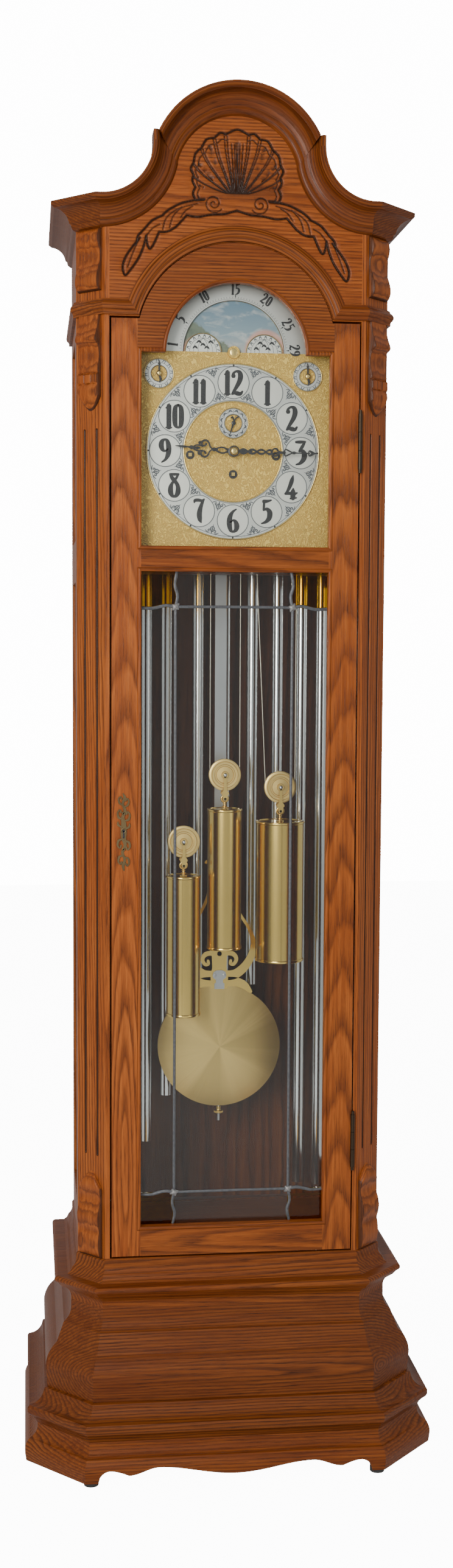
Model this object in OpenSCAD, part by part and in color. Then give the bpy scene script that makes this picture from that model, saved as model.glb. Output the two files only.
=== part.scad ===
// Longcase clock: oak case with canted corners, arched hood and glazed door,
// three cable-hung weights, a lyre pendulum, tubular chimes and a moon dial.
// The frame: +Z up, front towards -Y, origin on the floor under the middle
// of the case. Millimetres.

/* [Case] */
// Width across the case sides
case_w = 520; // [500:1:540]
// Half width of the flat front between the canted corners
front_half = 215; // [211:1:222]
// Width of the canted corner, along X and along Y
cant = 45; // [40:1:48]
// Depth of the case from its front to its back edge
case_depth = 322; // [316:1:340]
// Thickness of the side frames
side_t = 20; // [16:1:22]

/* [Levels above the floor] */
// Height of the floor glides
glide_h = 8; // [5:1:12]
// Top of the shaped skirt
skirt_top = 70; // [68:1:74]
// Top of the lower base moulding
tier_top = 130; // [126:1:134]
// Top of the swelled base panels
bombe_top = 276; // [272:1:280]
// Top of the upper base moulding, where the trunk starts
base_top = 358; // [352:1:361]
// Underside of the band that crosses the trunk at the hood
band_z = 1929; // [1927:1:1932]
// Underside of the crown moulding
crown_z = 2067; // [2060:1:2070]
// Height of the crown moulding
crown_h = 45; // [45:1:45]

/* [Door] */
// Half width of the door
door_half = 204.5; // [202:0.5:205]
// Underside of the door
door_z = 362; // [361.5:0.5:366]
// Square shoulders of the door, below its arch
door_shoulder_z = 1923; // [1920:1:1925]
// Thickness of the door
door_t = 22; // [20:1:24]
// Half width of both door windows
window_half = 156; // [150:1:160]
// Width of the bead round each window
bead_w = 6; // [4:1:8]

/* [Arches] */
// Height of the centre of the door arch
arch_z = 1884; // [1882:1:1886]
// Radius of the door's arched top
door_arch_r = 163.5; // [162:0.5:164]
// Radius of the opening in the hood that the door arch closes
hood_arch_r = 166; // [165.5:0.5:167]
// Height of the centre of the pediment arch
pediment_z = 2149; // [2147:1:2151]
// Inner radius of the pediment arch moulding
pediment_r = 100; // [99:1:101]
// Distance from the middle to the centre of each hollow crown curve
hollow_x = 223; // [223:1:225]
// Radius of the top edge of each hollow crown curve
hollow_r = 84; // [83:1:85]

/* [Dial] */
// Height of the hand centre
dial_z = 1716; // [1714:1:1718]
// Outer radius of the chapter ring
chapter_r = 144; // [140:1:148]
// Inner radius of the chapter ring
chapter_bore_r = 83; // [78:1:88]
// Half width of the dial plate
dial_half = 165; // [160:1:168]
// Height of the centre of the moon disc
moon_z = 1879; // [1877:1:1881]
// Radius of the painted moon disc
moon_r = 88; // [86:1:90]

/* [Weights and pendulum] */
// Radius of the two lighter weights
weight_r = 31; // [28:0.5:32]
// Radius of the heavy chime weight
heavy_r = 43; // [38:0.5:44]
// Length of a weight
weight_len = 248; // [230:1:260]
// Radius of the cable groove in a pulley
pulley_r = 25; // [24:0.5:26]
// Radius of the pendulum bob
bob_r = 111; // [100:1:115]
// Height of the middle of the bob
bob_z = 672; // [660:1:690]
// Height of the pendulum pivot
pivot_z = 1800; // [1795:1:1805]

/* [Chimes] */
// Outer radius of a chime tube
tube_r = 11; // [10:0.5:11.5]
// Height of the tops of the tubes
tube_top = 1850; // [1845:1:1852]

/* [Hidden] */

$fn = 64;
oak = "#964b23";
dark_oak = "#46342a";
brass = "#c8b26e";
steel = "#b4b8ba";
hand_black = "#28282a";

side_x = case_w / 2;
front_y = -case_depth / 2 + 46;
back_y = front_y + case_depth;
cant_y = front_y + cant;
mitre = tan(22.5);
cant_dist = (front_half - front_y) / sqrt(2);
inner_side_x = side_x - side_t;
crown_top = crown_z + crown_h;
door_front_y = front_y - 3;
door_back_y = door_front_y + door_t;
opening_half = door_half + 3;
post_back_y = front_y + 57;
glass_y = door_front_y + 14;
glass_t = 3;
window_z0 = 412;
window_z1 = 1516;
dial_open_z0 = 1557;
dial_open_z1 = 1871;
dial_arch_r = 116;
dial_arch_z = 1869;
rebate = 5;
glass_edge = rebate - 0.5;
stile_joint_x = window_half + bead_w;
came_x = 98;
came_z0 = 466;
came_z1 = 1458;

plate_y = -76;
plate_t = 2;
ring_t = 1.2;
second_z = dial_z + 47;
selector_x = 124;
selector_z = 1842;
wind_x = 72;
wind_z = dial_z - 6;
wind_low_z = dial_z - 37;
hemisphere_x = 51;
hemisphere_r = 30;
move_front_y = -60;
move_back_y = 36;
move_t = 3;
seat_z = 1518;
seat_t = 18;

weight_y = 22;
cable_r = 0.9;
line_r = pulley_r + cable_r + 0.2;
left_pulley_z = 1052;
centre_pulley_z = 1169;
right_pulley_z = 1147;
right_pulley_x = 98;
hang = 59;
pulley_pin = 2.05;

swing_y = 97;
tube_y = 137;
tube_x = [-165, -129, -93, -36, 12, 62, 108, 152, 188];
tube_end = [430, 488, 573, 640, 700, 776, 850, 403, 398];
hammer_y = 112;
hammer_z = 1890;

band_h = 25;
band_r1 = hood_arch_r + band_h;
meet_in_x = sqrt(pow(hood_arch_r, 2) - pow(band_z - arch_z, 2));
meet_out_x = sqrt(pow(band_r1, 2) - pow(band_z + band_h - arch_z, 2));
crown_in = [98, pediment_z + 22];
crown_step = [32, 42];
scallop_end = 232;
pane_y0 = -8;
pane_y1 = 157;
pane_zs = [[430, 1500], [1570, 1900]];

hinge_x = door_half + 1.5;
hinge_y = door_front_y - 3.5;
hinge_r = 3.5;
hinge_zs = [507, 1686];
hinge_len = 91;

// ---- outlines -------------------------------------------------------------

// Points of an arc, from angle a0 to a1 in n steps.
function arc(cx, cy, r, a0, a1, n) =
    [for (i = [0:n]) let (a = a0 + (a1 - a0) * i / n) [cx + r * cos(a), cy + r * sin(a)]];

// Each outline below is [distance out from the case face, height], going down.
skirt_out = concat(
    [[70, skirt_top]],
    arc(92, 66, 22, 190, 240, 5),
    arc(64, 26, 28, 45, -8, 6),
    [[90, glide_h]]
);
tier_out = concat(
    [[54, tier_top], [58, tier_top - 1]],
    arc(84, 129, 25, 188, 262, 6),
    [[84, 104], [87, 100], [87, 92]],
    arc(80, 92, 6, 0, -80, 4),
    [[74, 78], [70, skirt_top]]
);
bombe_out = concat(
    [[12, bombe_top]],
    arc(41, 262, 29, 186, 236, 6),
    arc(7, 166, 49, 52, -12, 9),
    [[54, 142], [53, tier_top]]
);
base_out = concat(
    [[0, base_top], [3, base_top - 3]],
    arc(19, 345, 16, 180, 232, 5),
    [[13, 325], [18, 321], [34, 321]],
    arc(34, 315, 6, 80, -80, 6),
    arc(33, 280, 21, 105, 178, 6),
    [[12, bombe_top]]
);
band_out = concat(
    [[0, band_z], [5, band_z], [5, band_z + 4]],
    arc(2, band_z + 13, 8, -60, 60, 8),
    [[5, band_z + 21], [3, band_z + 25], [0, band_z + 25]]
);
// The crown outline hangs from its top edge; heights are measured down from there.
crown_out = concat(
    [[0, 0], [41, 0], [41, -6], [37, -9]],
    arc(37, -36, 26, 92, 172, 8),
    [[8, -35]],
    arc(0, -36, 8, -2, -70, 5),
    [[0, -crown_h]]
);

// The same outline moved in by t, and a little taller, to hollow a moulding out.
function hollowed(outline, t) = concat(
    [[outline[0][0] - t, outline[0][1] + 1]],
    [for (p = outline) [p[0] - t, p[1]]],
    [[outline[len(outline) - 1][0] - t, outline[len(outline) - 1][1] - 1]]
);

// Outer corners of the case plan at distance d out from its faces.
function front_corner(d) = [front_half + mitre * d, front_y - d];
function side_corner(d) = [side_x + d, cant_y - mitre * d];
function flip(p) = [-p[0], p[1]];

module plan(d, back = back_y) {
    polygon([
        flip(front_corner(d)), front_corner(d), side_corner(d), [side_x + d, back],
        [-side_x - d, back], flip(side_corner(d))
    ]);
}

// A straight bar whose outline is [out from a plane at dist, height], facing the angle.
module run(outline, dist, angle) {
    reach = 500;
    rotate([0, 0, angle])
        translate([-reach, 0, 0])
            rotate([90, 0, 90])
                linear_extrude(2 * reach)
                    polygon([for (p = outline) [-dist - p[0], p[1]]]);
}

// Everything that lies behind the outline on all five faces of the case, so that
// the moulding mitres itself at each corner.
module moulded(outline, back = back_y) {
    far = -720;
    filled = concat(outline, [[far, outline[len(outline) - 1][1]], [far, outline[0][1]]]);
    intersection() {
        run(filled, -front_y, 0);
        run(filled, cant_dist, 45);
        run(filled, cant_dist, -45);
        run(filled, side_x, 90);
        run(filled, side_x, -90);
        box(-500, 500, -500, back, 0, 2500);
    }
}

// A moulding round the case whose back is upright at distance d.
module ring(outline, d) {
    difference() {
        moulded(outline);
        linear_extrude(2500) plan(d, back_y + 20);
    }
}

module both_sides() {
    children();
    mirror([1, 0, 0]) children();
}

// A board standing in the XZ plane, from y0 to y1 in depth.
module upright(y0, y1) {
    translate([0, y1, 0])
        rotate([90, 0, 0])
            linear_extrude(y1 - y0)
                children();
}

// A round bar or hole along Y.
module rod_y(x, z, r, y0, y1) {
    translate([x, y0, z])
        rotate([-90, 0, 0])
            cylinder(r = r, h = y1 - y0);
}

module box(x0, x1, y0, y1, z0, z1) {
    translate([x0, y0, z0])
        cube([x1 - x0, y1 - y0, z1 - z0]);
}

// A level board between the side frames, notched round the corner posts.
module notched_board(y0, y1, z0, z1) {
    translate([0, 0, z0])
        linear_extrude(z1 - z0)
            polygon([
                [-opening_half, y0], [opening_half, y0], [opening_half, post_back_y],
                [inner_side_x, post_back_y], [inner_side_x, y1], [-inner_side_x, y1],
                [-inner_side_x, post_back_y], [-opening_half, post_back_y]
            ]);
}

// ---- base -----------------------------------------------------------------

module floor_glides() {
    color("#202020")
        both_sides() {
            translate([242, -188, 0]) cylinder(r = 12.5, h = glide_h);
            translate([326, 180, 0]) cylinder(r = 12.5, h = glide_h);
        }
}

// Height of the scalloped lower edge of the front skirt at x: a drop in the middle,
// a rise, a cusp, a short hollow and the foot.
function scallop(x) =
    let (a = abs(x))
    a <= 130 ? 24 - 8 * cos(a * 180 / 130) :
    a <= 180 ? 26 + 6 * cos((a - 130) * 180 / 50) :
    a <= 212 ? 20 + 9 * sin((a - 180) * 180 / 64) :
    glide_h - 4 + 25 * sqrt(max(0, 1 - pow((a - 212) / (scallop_end - 212), 2)));

module plinth_skirt() {
    edge = [for (x = [-scallop_end:4:scallop_end]) [x, scallop(x)]];
    color(oak)
        difference() {
            ring(skirt_out, 48);
            upright(-260, -140)
                polygon(concat(edge, [[scallop_end, -5], [-scallop_end, -5]]));
        }
}

module lower_base_moulding() {
    color(oak) ring(tier_out, 30);
}

module bombe_panels() {
    color(oak)
        difference() {
            moulded(bombe_out);
            moulded(hollowed(bombe_out, 22), back_y + 20);
        }
}

module upper_base_moulding() {
    color(oak) ring(base_out, -12);
}

module bottom_board() {
    color(oak)
        translate([0, 0, base_top - 22])
            linear_extrude(18)
                difference() {
                    plan(-12);
                    translate([-300, back_y - 20]) square([600, 40]);
                }
}

// ---- trunk and hood -------------------------------------------------------

module corner_post() {
    flute_r = 2.8;
    flute_x = (front_half + side_x) / 2;
    flute_y = (front_y + cant_y) / 2;
    color(oak)
        difference() {
            translate([0, 0, base_top])
                linear_extrude(crown_top - 6 - base_top)
                    polygon([
                        [opening_half, front_y], [front_half, front_y], [side_x, cant_y],
                        [side_x, post_back_y], [opening_half, post_back_y]
                    ]);
            for (s = [-13.5, 13.5]) {
                translate([flute_x + (s + 0.5) / sqrt(2), flute_y + (s - 0.5) / sqrt(2), 535]) {
                    cylinder(r = flute_r, h = 1210);
                    sphere(r = flute_r);
                    translate([0, 0, 1210]) sphere(r = flute_r);
                }
            }
        }
}

module right_corner_post() {
    corner_post();
}

module left_corner_post() {
    mirror([1, 0, 0]) corner_post();
}

module side_pane(grow) {
    for (z = pane_zs)
        box(side_x - 12, side_x - 9, pane_y0 - grow, pane_y1 + grow, z[0] - grow, z[1] + grow);
}

module side_frame() {
    color(oak)
        difference() {
            box(inner_side_x, side_x, post_back_y, back_y, base_top, crown_top - 6);
            for (z = pane_zs)
                box(inner_side_x - 1, side_x + 1, pane_y0, pane_y1, z[0], z[1]);
            side_pane(rebate);
        }
}

module right_side_frame() {
    side_frame();
}

module left_side_frame() {
    mirror([1, 0, 0]) side_frame();
}

module side_glasses() {
    color("#cfe0dc", 0.4) both_sides() side_pane(rebate);
}

// The thin upper back and the shaped board that closes the base behind.
module back_panels() {
    gap = 0.5;
    inner = concat(
        [for (p = bombe_out) [side_x + p[0] - 22 - gap, p[1]]],
        [[side_x + 30 - gap, tier_top], [side_x + 30 - gap, skirt_top]],
        [[side_x + 48 - gap, skirt_top], [side_x + 48 - gap, glide_h + 14]]
    );
    color(dark_oak) {
        box(-inner_side_x, inner_side_x, back_y - 8, back_y - 2, base_top, crown_top - 12);
        upright(back_y - 20, back_y - 1)
            polygon(concat(
                [[side_x - 12 - gap, base_top - 1]],
                [[side_x - 12 - gap, bombe_top]],
                inner,
                [for (i = [len(inner) - 1:-1:0]) flip(inner[i])],
                [[-side_x + 12 + gap, bombe_top]],
                [[-side_x + 12 + gap, base_top - 1]]
            ));
    }
}

// A carved block on the canted corner; outline is [out from the canted face, height].
module on_cant(outline, width) {
    intersection() {
        run(outline, cant_dist, 45);
        rotate([0, 0, 45]) box(shift_on_cant() - width / 2, shift_on_cant() + width / 2,
            -cant_dist - 60, -cant_dist + 10, 0, 2400);
    }
}

// Where the middle of the canted face lies along the turned X axis.
function shift_on_cant() = (front_half + side_x) / 2 / sqrt(2) + (front_y + cant_y) / 2 / sqrt(2);

upper_corbel = concat(
    [[0, crown_z], [3, crown_z]],
    arc(-6, crown_z - 14, 14, 40, -30, 4),
    arc(14, crown_z - 44, 10, 150, 210, 3),
    arc(-6, crown_z - 84, 17, 55, -40, 6),
    [[0, crown_z - 99]]
);
lower_corbel = concat(
    [[0, band_z], [4, band_z]],
    arc(-10, band_z - 42, 24, 45, -20, 6),
    arc(17, band_z - 62, 9, 160, 215, 3),
    arc(-4, band_z - 92, 12, 50, -60, 5),
    [[7, band_z - 106], [9, band_z - 110], [9, band_z - 122]],
    arc(-4, band_z - 134, 13, 50, -35, 5),
    [[0, band_z - 158]]
);
foot_block = concat(
    [[0, 505], [3, 498]],
    arc(-6, 480, 14, 50, -50, 5),
    [[4, 462]],
    arc(-9, 430, 20, 60, -50, 6),
    [[7, 400], [9, 392], [9, 370], [4, base_top], [0, base_top]]
);

module post_carvings() {
    color(oak)
        both_sides() {
            on_cant(upper_corbel, 50);
            on_cant(lower_corbel, 46);
            on_cant(foot_block, 50);
        }
}

// A point on the line where the level band meets the arched band; k is 0 at the
// inner end of the mitre and 1 at its outer end.

function past_meet(k) = [
    meet_in_x + (meet_out_x - meet_in_x) * k,
    band_z + band_h * k
];

module waist_moulding() {
    color(oak)
        difference() {
            ring(band_out, 0);
            upright(-200, -90)
                polygon([
                    flip(past_meet(-2)), past_meet(-2), past_meet(3), flip(past_meet(3))
                ]);
        }
}

// Sweeps an outline of [out from the front, radius] round an axis along Y.
module sweep_y(cx, cz, outline, from, span) {
    translate([cx, front_y, cz])
        rotate([90, 0, 0])
            rotate([0, 0, from])
                rotate_extrude(angle = span, $fn = 180)
                    polygon([for (p = outline) [p[1], p[0]]]);
}

module arch_moulding() {
    color(oak)
        difference() {
            sweep_y(0, arch_z, [for (p = band_out) [p[0], p[1] - band_z + hood_arch_r]], 0, 180);
            both_sides()
                upright(-200, 0)
                    polygon([
                        past_meet(-4), past_meet(4), past_meet(4) + [200, 0], past_meet(-4) + [200, 0]
                    ]);
            box(-300, 300, -200, 0, arch_z - 100, band_z - 0.01);
        }
}

// The crown's front edge in elevation, set in by m from the moulding's top edge.
module pediment_shape(m) {
    difference() {
        translate([-opening_half, 0]) square([2 * opening_half, crown_top + hollow_r]);
        both_sides() translate([hollow_x, crown_top + hollow_r]) circle(r = hollow_r + m, $fn = 128);
    }
    translate([0, pediment_z]) circle(r = pediment_r + crown_h - m, $fn = 128);
}

module fascia_board() {
    color(oak)
        upright(front_y, front_y + 20)
            difference() {
                pediment_shape(4);
                translate([-400, 0]) square([800, door_shoulder_z + 4]);
                translate([0, arch_z]) circle(r = hood_arch_r, $fn = 128);
                translate([-400, crown_top + hollow_r]) square([400 - 128, 200]);
                translate([128, crown_top + hollow_r]) square([400 - 128, 200]);
            }
}

// What lies to one side of the line on which the arched crown meets the hollow crown.
module crown_cut(side) {
    a = crown_in - 3 * crown_step;
    b = crown_in + 4 * crown_step;
    upright(-300, 0)
        polygon([a, b, b + [side * 400, 0], a + [side * 400, 0]]);
}

module crown_arch_moulding() {
    color(oak)
        difference() {
            sweep_y(0, pediment_z, [for (p = crown_out) [p[0], pediment_r + crown_h + p[1]]], 0, 180);
            both_sides() crown_cut(1);
        }
}

module crown_hollow() {
    difference() {
        union() {
            sweep_y(hollow_x, crown_top + hollow_r,
                [for (p = crown_out) [p[0], hollow_r - p[1]]], 180, 90);
            translate([0, front_y, crown_top + hollow_r])
                linear_extrude(60)
                    polygon([for (p = crown_out) [hollow_x - hollow_r + p[1], -p[0]]]);
        }
        crown_cut(-1);
        box(0, 300, -300, 0, 2213, 2400);
    }
}

module crown_side_mouldings() {
    level = [for (p = crown_out) [p[0], crown_top + p[1]]];
    color(oak) {
        both_sides() crown_hollow();
        difference() {
            ring(level, 0);
            box(-hollow_x, hollow_x, -300, -80, 1900, 2300);
        }
    }
}

module top_board() {
    color(oak) notched_board(front_y + 20, back_y - 8, crown_top - 26, crown_top - 12);
}

// ---- movement and dial ----------------------------------------------------

module seat_board() {
    color(oak)
        difference() {
            notched_board(-82, 78, seat_z, seat_z + seat_t);
            box(-104, -40, weight_y - 5, weight_y + 5, seat_z - 1, seat_z + seat_t + 1);
            box(-32, 32, weight_y - 5, weight_y + 5, seat_z - 1, seat_z + seat_t + 1);
            box(46, 130, weight_y - 5, weight_y + 5, seat_z - 1, seat_z + seat_t + 1);
        }
}

module dial_outline() {
    translate([-dial_half, dial_open_z0 - 8]) square([2 * dial_half, moon_z - dial_open_z0 + 8]);
    intersection() {
        translate([0, moon_z]) circle(r = 128, $fn = 128);
        translate([-200, moon_z - 1]) square([400, 200]);
    }
}

module moon_window() {
    difference() {
        intersection() {
            translate([0, moon_z]) circle(r = 84, $fn = 128);
            translate([-100, moon_z]) square([200, 100]);
        }
        for (x = [-hemisphere_x, hemisphere_x])
            translate([x, moon_z]) circle(r = hemisphere_r);
        translate([0, moon_z]) circle(r = 8);
    }
}

module dial_plate() {
    color(brass) {
        difference() {
            upright(plate_y, plate_y + plate_t)
                difference() {
                    dial_outline();
                    moon_window();
                }
            rod_y(0, dial_z, 8.5, plate_y - 2, plate_y + 3);
            rod_y(0, second_z, 3, plate_y - 2, plate_y + 3);
            for (x = [-wind_x, wind_x]) rod_y(x, wind_z, 6, plate_y - 2, plate_y + 3);
            rod_y(0, wind_low_z, 6, plate_y - 2, plate_y + 3);
            for (x = [-selector_x, selector_x])
                rod_y(x, selector_z, 2.05, plate_y - 2, plate_y + 3);
            rod_y(0, moon_z, 3.05, plate_y - 2, plate_y + 3);
        }
        difference() {
            rod_y(0, moon_z, 10, plate_y - 4, plate_y);
            rod_y(0, moon_z, 3.05, plate_y - 2, plate_y + 1);
        }
    }
}

module flat_ring(x, z, r1, r0) {
    upright(plate_y - ring_t, plate_y)
        translate([x, z])
            difference() {
                circle(r = r1, $fn = 128);
                circle(r = r0, $fn = 128);
            }
}

// Chapter ring, seconds ring, two selector rings and the lunar scale.
module dial_rings() {
    color("#c8cac6") {
        flat_ring(0, dial_z, chapter_r, chapter_bore_r);
        flat_ring(0, second_z, 25, 14);
        for (x = [-selector_x, selector_x]) flat_ring(x, selector_z, 24, 13);
        upright(plate_y - ring_t, plate_y)
            difference() {
                translate([0, moon_z]) circle(r = 126, $fn = 128);
                translate([0, moon_z]) circle(r = 84, $fn = 128);
                translate([-200, moon_z - 300]) square([400, 300]);
            }
    }
}

module movement_frame() {
    color(brass) {
        difference() {
            for (y = [move_front_y, move_back_y - move_t])
                box(-110, 110, y, y + move_t, seat_z + seat_t, 1812);
            rod_y(0, dial_z, 3.05, -80, 60);
            rod_y(0, second_z, 1.05, -80, 0);
            for (x = [-wind_x, wind_x]) rod_y(x, wind_z, 5.05, -80, 60);
            rod_y(0, wind_low_z, 5.05, -80, 60);
        }
        for (p = [[84, seat_z + seat_t + 10], [102, 1802]])
            for (s = [-1, 1])
                rod_y(s * p[0], p[1], 5, move_front_y + move_t, move_back_y - move_t);
        for (x = [-102, 102])
            for (z = [1570, 1775])
                rod_y(x, z, 3, plate_y + plate_t, move_front_y);
    }
}

// The cast post that carries the pendulum behind the movement.
module suspension_post() {
    color(brass) {
        box(-24, 24, move_back_y, move_back_y + 6, 1770, 1812);
        box(-12, 12, move_back_y + 6, swing_y - 8, 1784, 1812);
        rod_y(0, pivot_z, 2, swing_y - 8, swing_y + 8);
    }
}

module tube_rack() {
    rack_x0 = tube_x[0] - 22;
    rack_x1 = tube_x[8] + 22;
    color("#3a3a3c") {
        box(rack_x0, rack_x1, tube_y - 8, tube_y + 12, 1880, 1905);
        for (x = [-140, 150])
            box(x, x + 30, tube_y + 12, back_y - 8, 1875, 1910);
        difference() {
            for (x = [rack_x0, rack_x1 - 4])
                box(x, x + 4, hammer_y - 8, tube_y - 8, 1880, 1905);
            translate([-300, hammer_y, hammer_z])
                rotate([0, 90, 0])
                    cylinder(r = 3.05, h = 600);
        }
    }
}

module chime_tubes() {
    color(steel)
        for (i = [0:len(tube_x) - 1])
            translate([tube_x[i], tube_y, 0]) {
                difference() {
                    translate([0, 0, tube_end[i]])
                        cylinder(r = tube_r, h = tube_top - tube_end[i]);
                    translate([0, 0, tube_end[i] - 1])
                        cylinder(r = tube_r - 1.4, h = tube_top - tube_end[i] - 5);
                }
                translate([0, 0, tube_top]) cylinder(r = 1, h = 30);
            }
}

// Nine hammers on their common rod; each head hangs just in front of its tube.
module chime_hammers() {
    color(brass) {
        translate([tube_x[0] - 22, hammer_y, hammer_z])
            rotate([0, 90, 0])
                cylinder(r = 3, h = tube_x[8] - tube_x[0] + 44);
        for (x = tube_x) {
            box(x - 3, x + 3, hammer_y - 1, hammer_y + 1, 1836, hammer_z);
            rod_y(x, 1836, 6, hammer_y - 5, tube_y - tube_r - 4);
        }
    }
}

// ---- hinges ---------------------------------------------------------------

module knuckle(z0, h, bore) {
    translate([hinge_x, hinge_y, z0])
        difference() {
            cylinder(r = hinge_r, h = h);
            translate([0, 0, -1]) cylinder(r = bore, h = h + 2);
        }
}

module leaf(x0, x1, z0, z1) {
    box(x0, x1, hinge_y, hinge_y + 22, z0, z1);
}

// The fixed leaves with their outer knuckles and the hinge pins.
module case_hinge_leaves() {
    third = hinge_len / 3;
    color("#3b2a1c")
        for (z = hinge_zs) {
            difference() {
                union() {
                    leaf(opening_half - 0.9, opening_half, z, z + hinge_len);
                    for (k = [0, 2])
                        translate([hinge_x, hinge_y, z + k * third]) cylinder(r = hinge_r, h = third);
                }
                translate([hinge_x, hinge_y, z + third - 0.3]) cylinder(r = 4, h = third + 0.6);
            }
            translate([hinge_x, hinge_y, z - 4]) cylinder(r = 1.5, h = hinge_len + 8);
            for (zz = [z - 6, z + hinge_len])
                translate([hinge_x, hinge_y, zz]) cylinder(r = 2.6, h = 6);
        }
}

module door_hinge_leaves() {
    third = hinge_len / 3;
    color("#3b2a1c")
        for (z = hinge_zs)
            difference() {
                union() {
                    leaf(door_half, door_half + 0.9, z, z + hinge_len);
                    knuckle(z + third, third, 1.56);
                }
                for (k = [0, 2])
                    translate([hinge_x, hinge_y, z + k * third - 0.3])
                        cylinder(r = 4, h = third + 0.6);
                translate([hinge_x, hinge_y, z + third - 1]) cylinder(r = 1.56, h = third + 2);
            }
}

// ---- door -----------------------------------------------------------------

module dial_opening(grow) {
    translate([-window_half - grow, dial_open_z0 - grow])
        square([2 * (window_half + grow), dial_open_z1 - dial_open_z0 + 2 * grow]);
    translate([0, dial_arch_z]) circle(r = dial_arch_r + grow, $fn = 128);
}

module trunk_opening(grow) {
    translate([-window_half - grow, window_z0 - grow])
        square([2 * (window_half + grow), window_z1 - window_z0 + 2 * grow]);
}

// Both windows, with the rebate for the glass cut from behind.
module window_cuts() {
    upright(door_front_y - 1, door_back_y + 1) {
        dial_opening(0);
        trunk_opening(0);
    }
    upright(glass_y, door_back_y + 1) {
        dial_opening(rebate);
        trunk_opening(rebate);
    }
}

module right_stile() {
    difference() {
        union() {
            box(window_half, door_half, door_front_y, door_back_y, door_z, dial_open_z1);
            box(stile_joint_x, door_half, door_front_y, door_back_y, dial_open_z1, door_shoulder_z);
        }
        window_cuts();
    }
}

module door_right_stile() {
    color(oak) right_stile();
}

module door_left_stile() {
    color(oak)
        difference() {
            mirror([1, 0, 0]) right_stile();
            rod_y(-184.5, 1085, 2.5, door_front_y - 1, door_back_y + 1);
        }
}

module door_bottom_rail() {
    color(oak)
        difference() {
            box(-window_half, window_half, door_front_y, door_back_y, door_z, window_z0);
            window_cuts();
        }
}

module door_middle_rail() {
    color(oak)
        difference() {
            box(-window_half, window_half, door_front_y, door_back_y, window_z1, dial_open_z0);
            window_cuts();
        }
}

module door_arched_rail() {
    color(oak)
        difference() {
            upright(door_front_y, door_back_y) {
                translate([-stile_joint_x, dial_open_z1])
                    square([2 * stile_joint_x, door_shoulder_z - dial_open_z1]);
                difference() {
                    translate([0, arch_z]) circle(r = door_arch_r, $fn = 180);
                    translate([-200, arch_z - 200]) square([400, 200 + door_shoulder_z - arch_z - 1]);
                }
            }
            window_cuts();
        }
}

// Corner panes, cut along the short cames that run from each knot.
corner_panes = [
    [[-came_x, came_z1], [-window_half - glass_edge, came_z1 - 4],
        [-window_half - glass_edge, window_z1 + glass_edge], [-came_x + 3, window_z1 + glass_edge]],
    [[-came_x, came_z0], [-window_half - glass_edge, came_z0 + 1],
        [-window_half - glass_edge, window_z0 - glass_edge], [-came_x + 3, window_z0 - glass_edge]]
];

module corner_shapes() {
    both_sides()
        for (pane = corner_panes) polygon(pane);
}

module clear_panes() {
    color("#dfe8e6", 0.3)
        upright(glass_y, glass_y + glass_t) {
            dial_opening(glass_edge);
            difference() {
                trunk_opening(glass_edge);
                corner_shapes();
            }
        }
}

module amber_panes() {
    color("#c88a14", 0.6)
        upright(glass_y, glass_y + glass_t)
            corner_shapes();
}

module came_lattice() {
    w = 3;
    zs = [came_z0, came_z1];
    color("#6e7072")
        for (y = [glass_y - 2, glass_y + glass_t])
            upright(y, y + 2) {
                for (x = [-came_x, came_x])
                    translate([x - w, window_z0]) square([2 * w, window_z1 - window_z0]);
                for (z = zs)
                    translate([-window_half, z - w]) square([2 * window_half, 2 * w]);
                for (x = [-came_x, came_x], z = zs)
                    translate([x, z]) rotate(45) square(16, center = true);
            }
}

module escutcheon() {
    x = -184.5;
    color("#8a6a34")
        upright(door_front_y - 2, door_front_y)
            difference() {
                union() {
                    translate([x - 7, 1030]) square([14, 110]);
                    for (z = [1050, 1085, 1120]) translate([x, z]) circle(r = 11);
                    for (z = [1026, 1144]) translate([x, z]) circle(r = 5.5);
                }
                translate([x, 1087]) circle(r = 2.5);
                translate([x - 1.2, 1075]) square([2.4, 12]);
            }
}

// ---- hands ----------------------------------------------------------------

module pointer(y, t, length, width, angle, x = 0, z = dial_z) {
    translate([x, y, z])
        rotate([0, angle, 0])
            upright(0, t)
                polygon([
                    [-width / 2, 0], [-width / 2, length * 0.7], [0, length],
                    [width / 2, length * 0.7], [width / 2, 0]
                ]);
}

module hour_hand() {
    color(hand_black)
        difference() {
            union() {
                pointer(-86, 1.2, 98, 12, -83);
                rod_y(0, dial_z, 9, -86, -84.8);
                rod_y(0, dial_z, 7, -87, -70);
            }
            rod_y(0, dial_z, 4.9, -90, -60);
        }
}

module minute_hand() {
    color(hand_black) {
        pointer(-91, 1.2, 138, 12, 92);
        rod_y(0, dial_z, 9, -91, -89.8);
        rod_y(0, dial_z, 5.5, -95, -91);
        rod_y(0, dial_z, 4.8, -91, -64);
        rod_y(0, dial_z, 3, -64, move_back_y + 4);
    }
}

module second_hand() {
    color(hand_black) {
        pointer(-80, 0.8, 22, 2.4, 198, 0, second_z);
        rod_y(0, second_z, 3, -80, -79.2);
        rod_y(0, second_z, 1, -80, move_front_y + move_t);
    }
}

module selector(x) {
    color(hand_black) {
        pointer(-81, 1, 20, 4, 0, x, selector_z);
        rod_y(x, selector_z, 3.5, -82, -80);
        rod_y(x, selector_z, 2, -80, plate_y + 6);
        rod_y(x, selector_z, 6, plate_y + 3, plate_y + 6);
    }
}

module chime_selector() {
    selector(selector_x);
}

module silence_selector() {
    selector(-selector_x);
}

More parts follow.
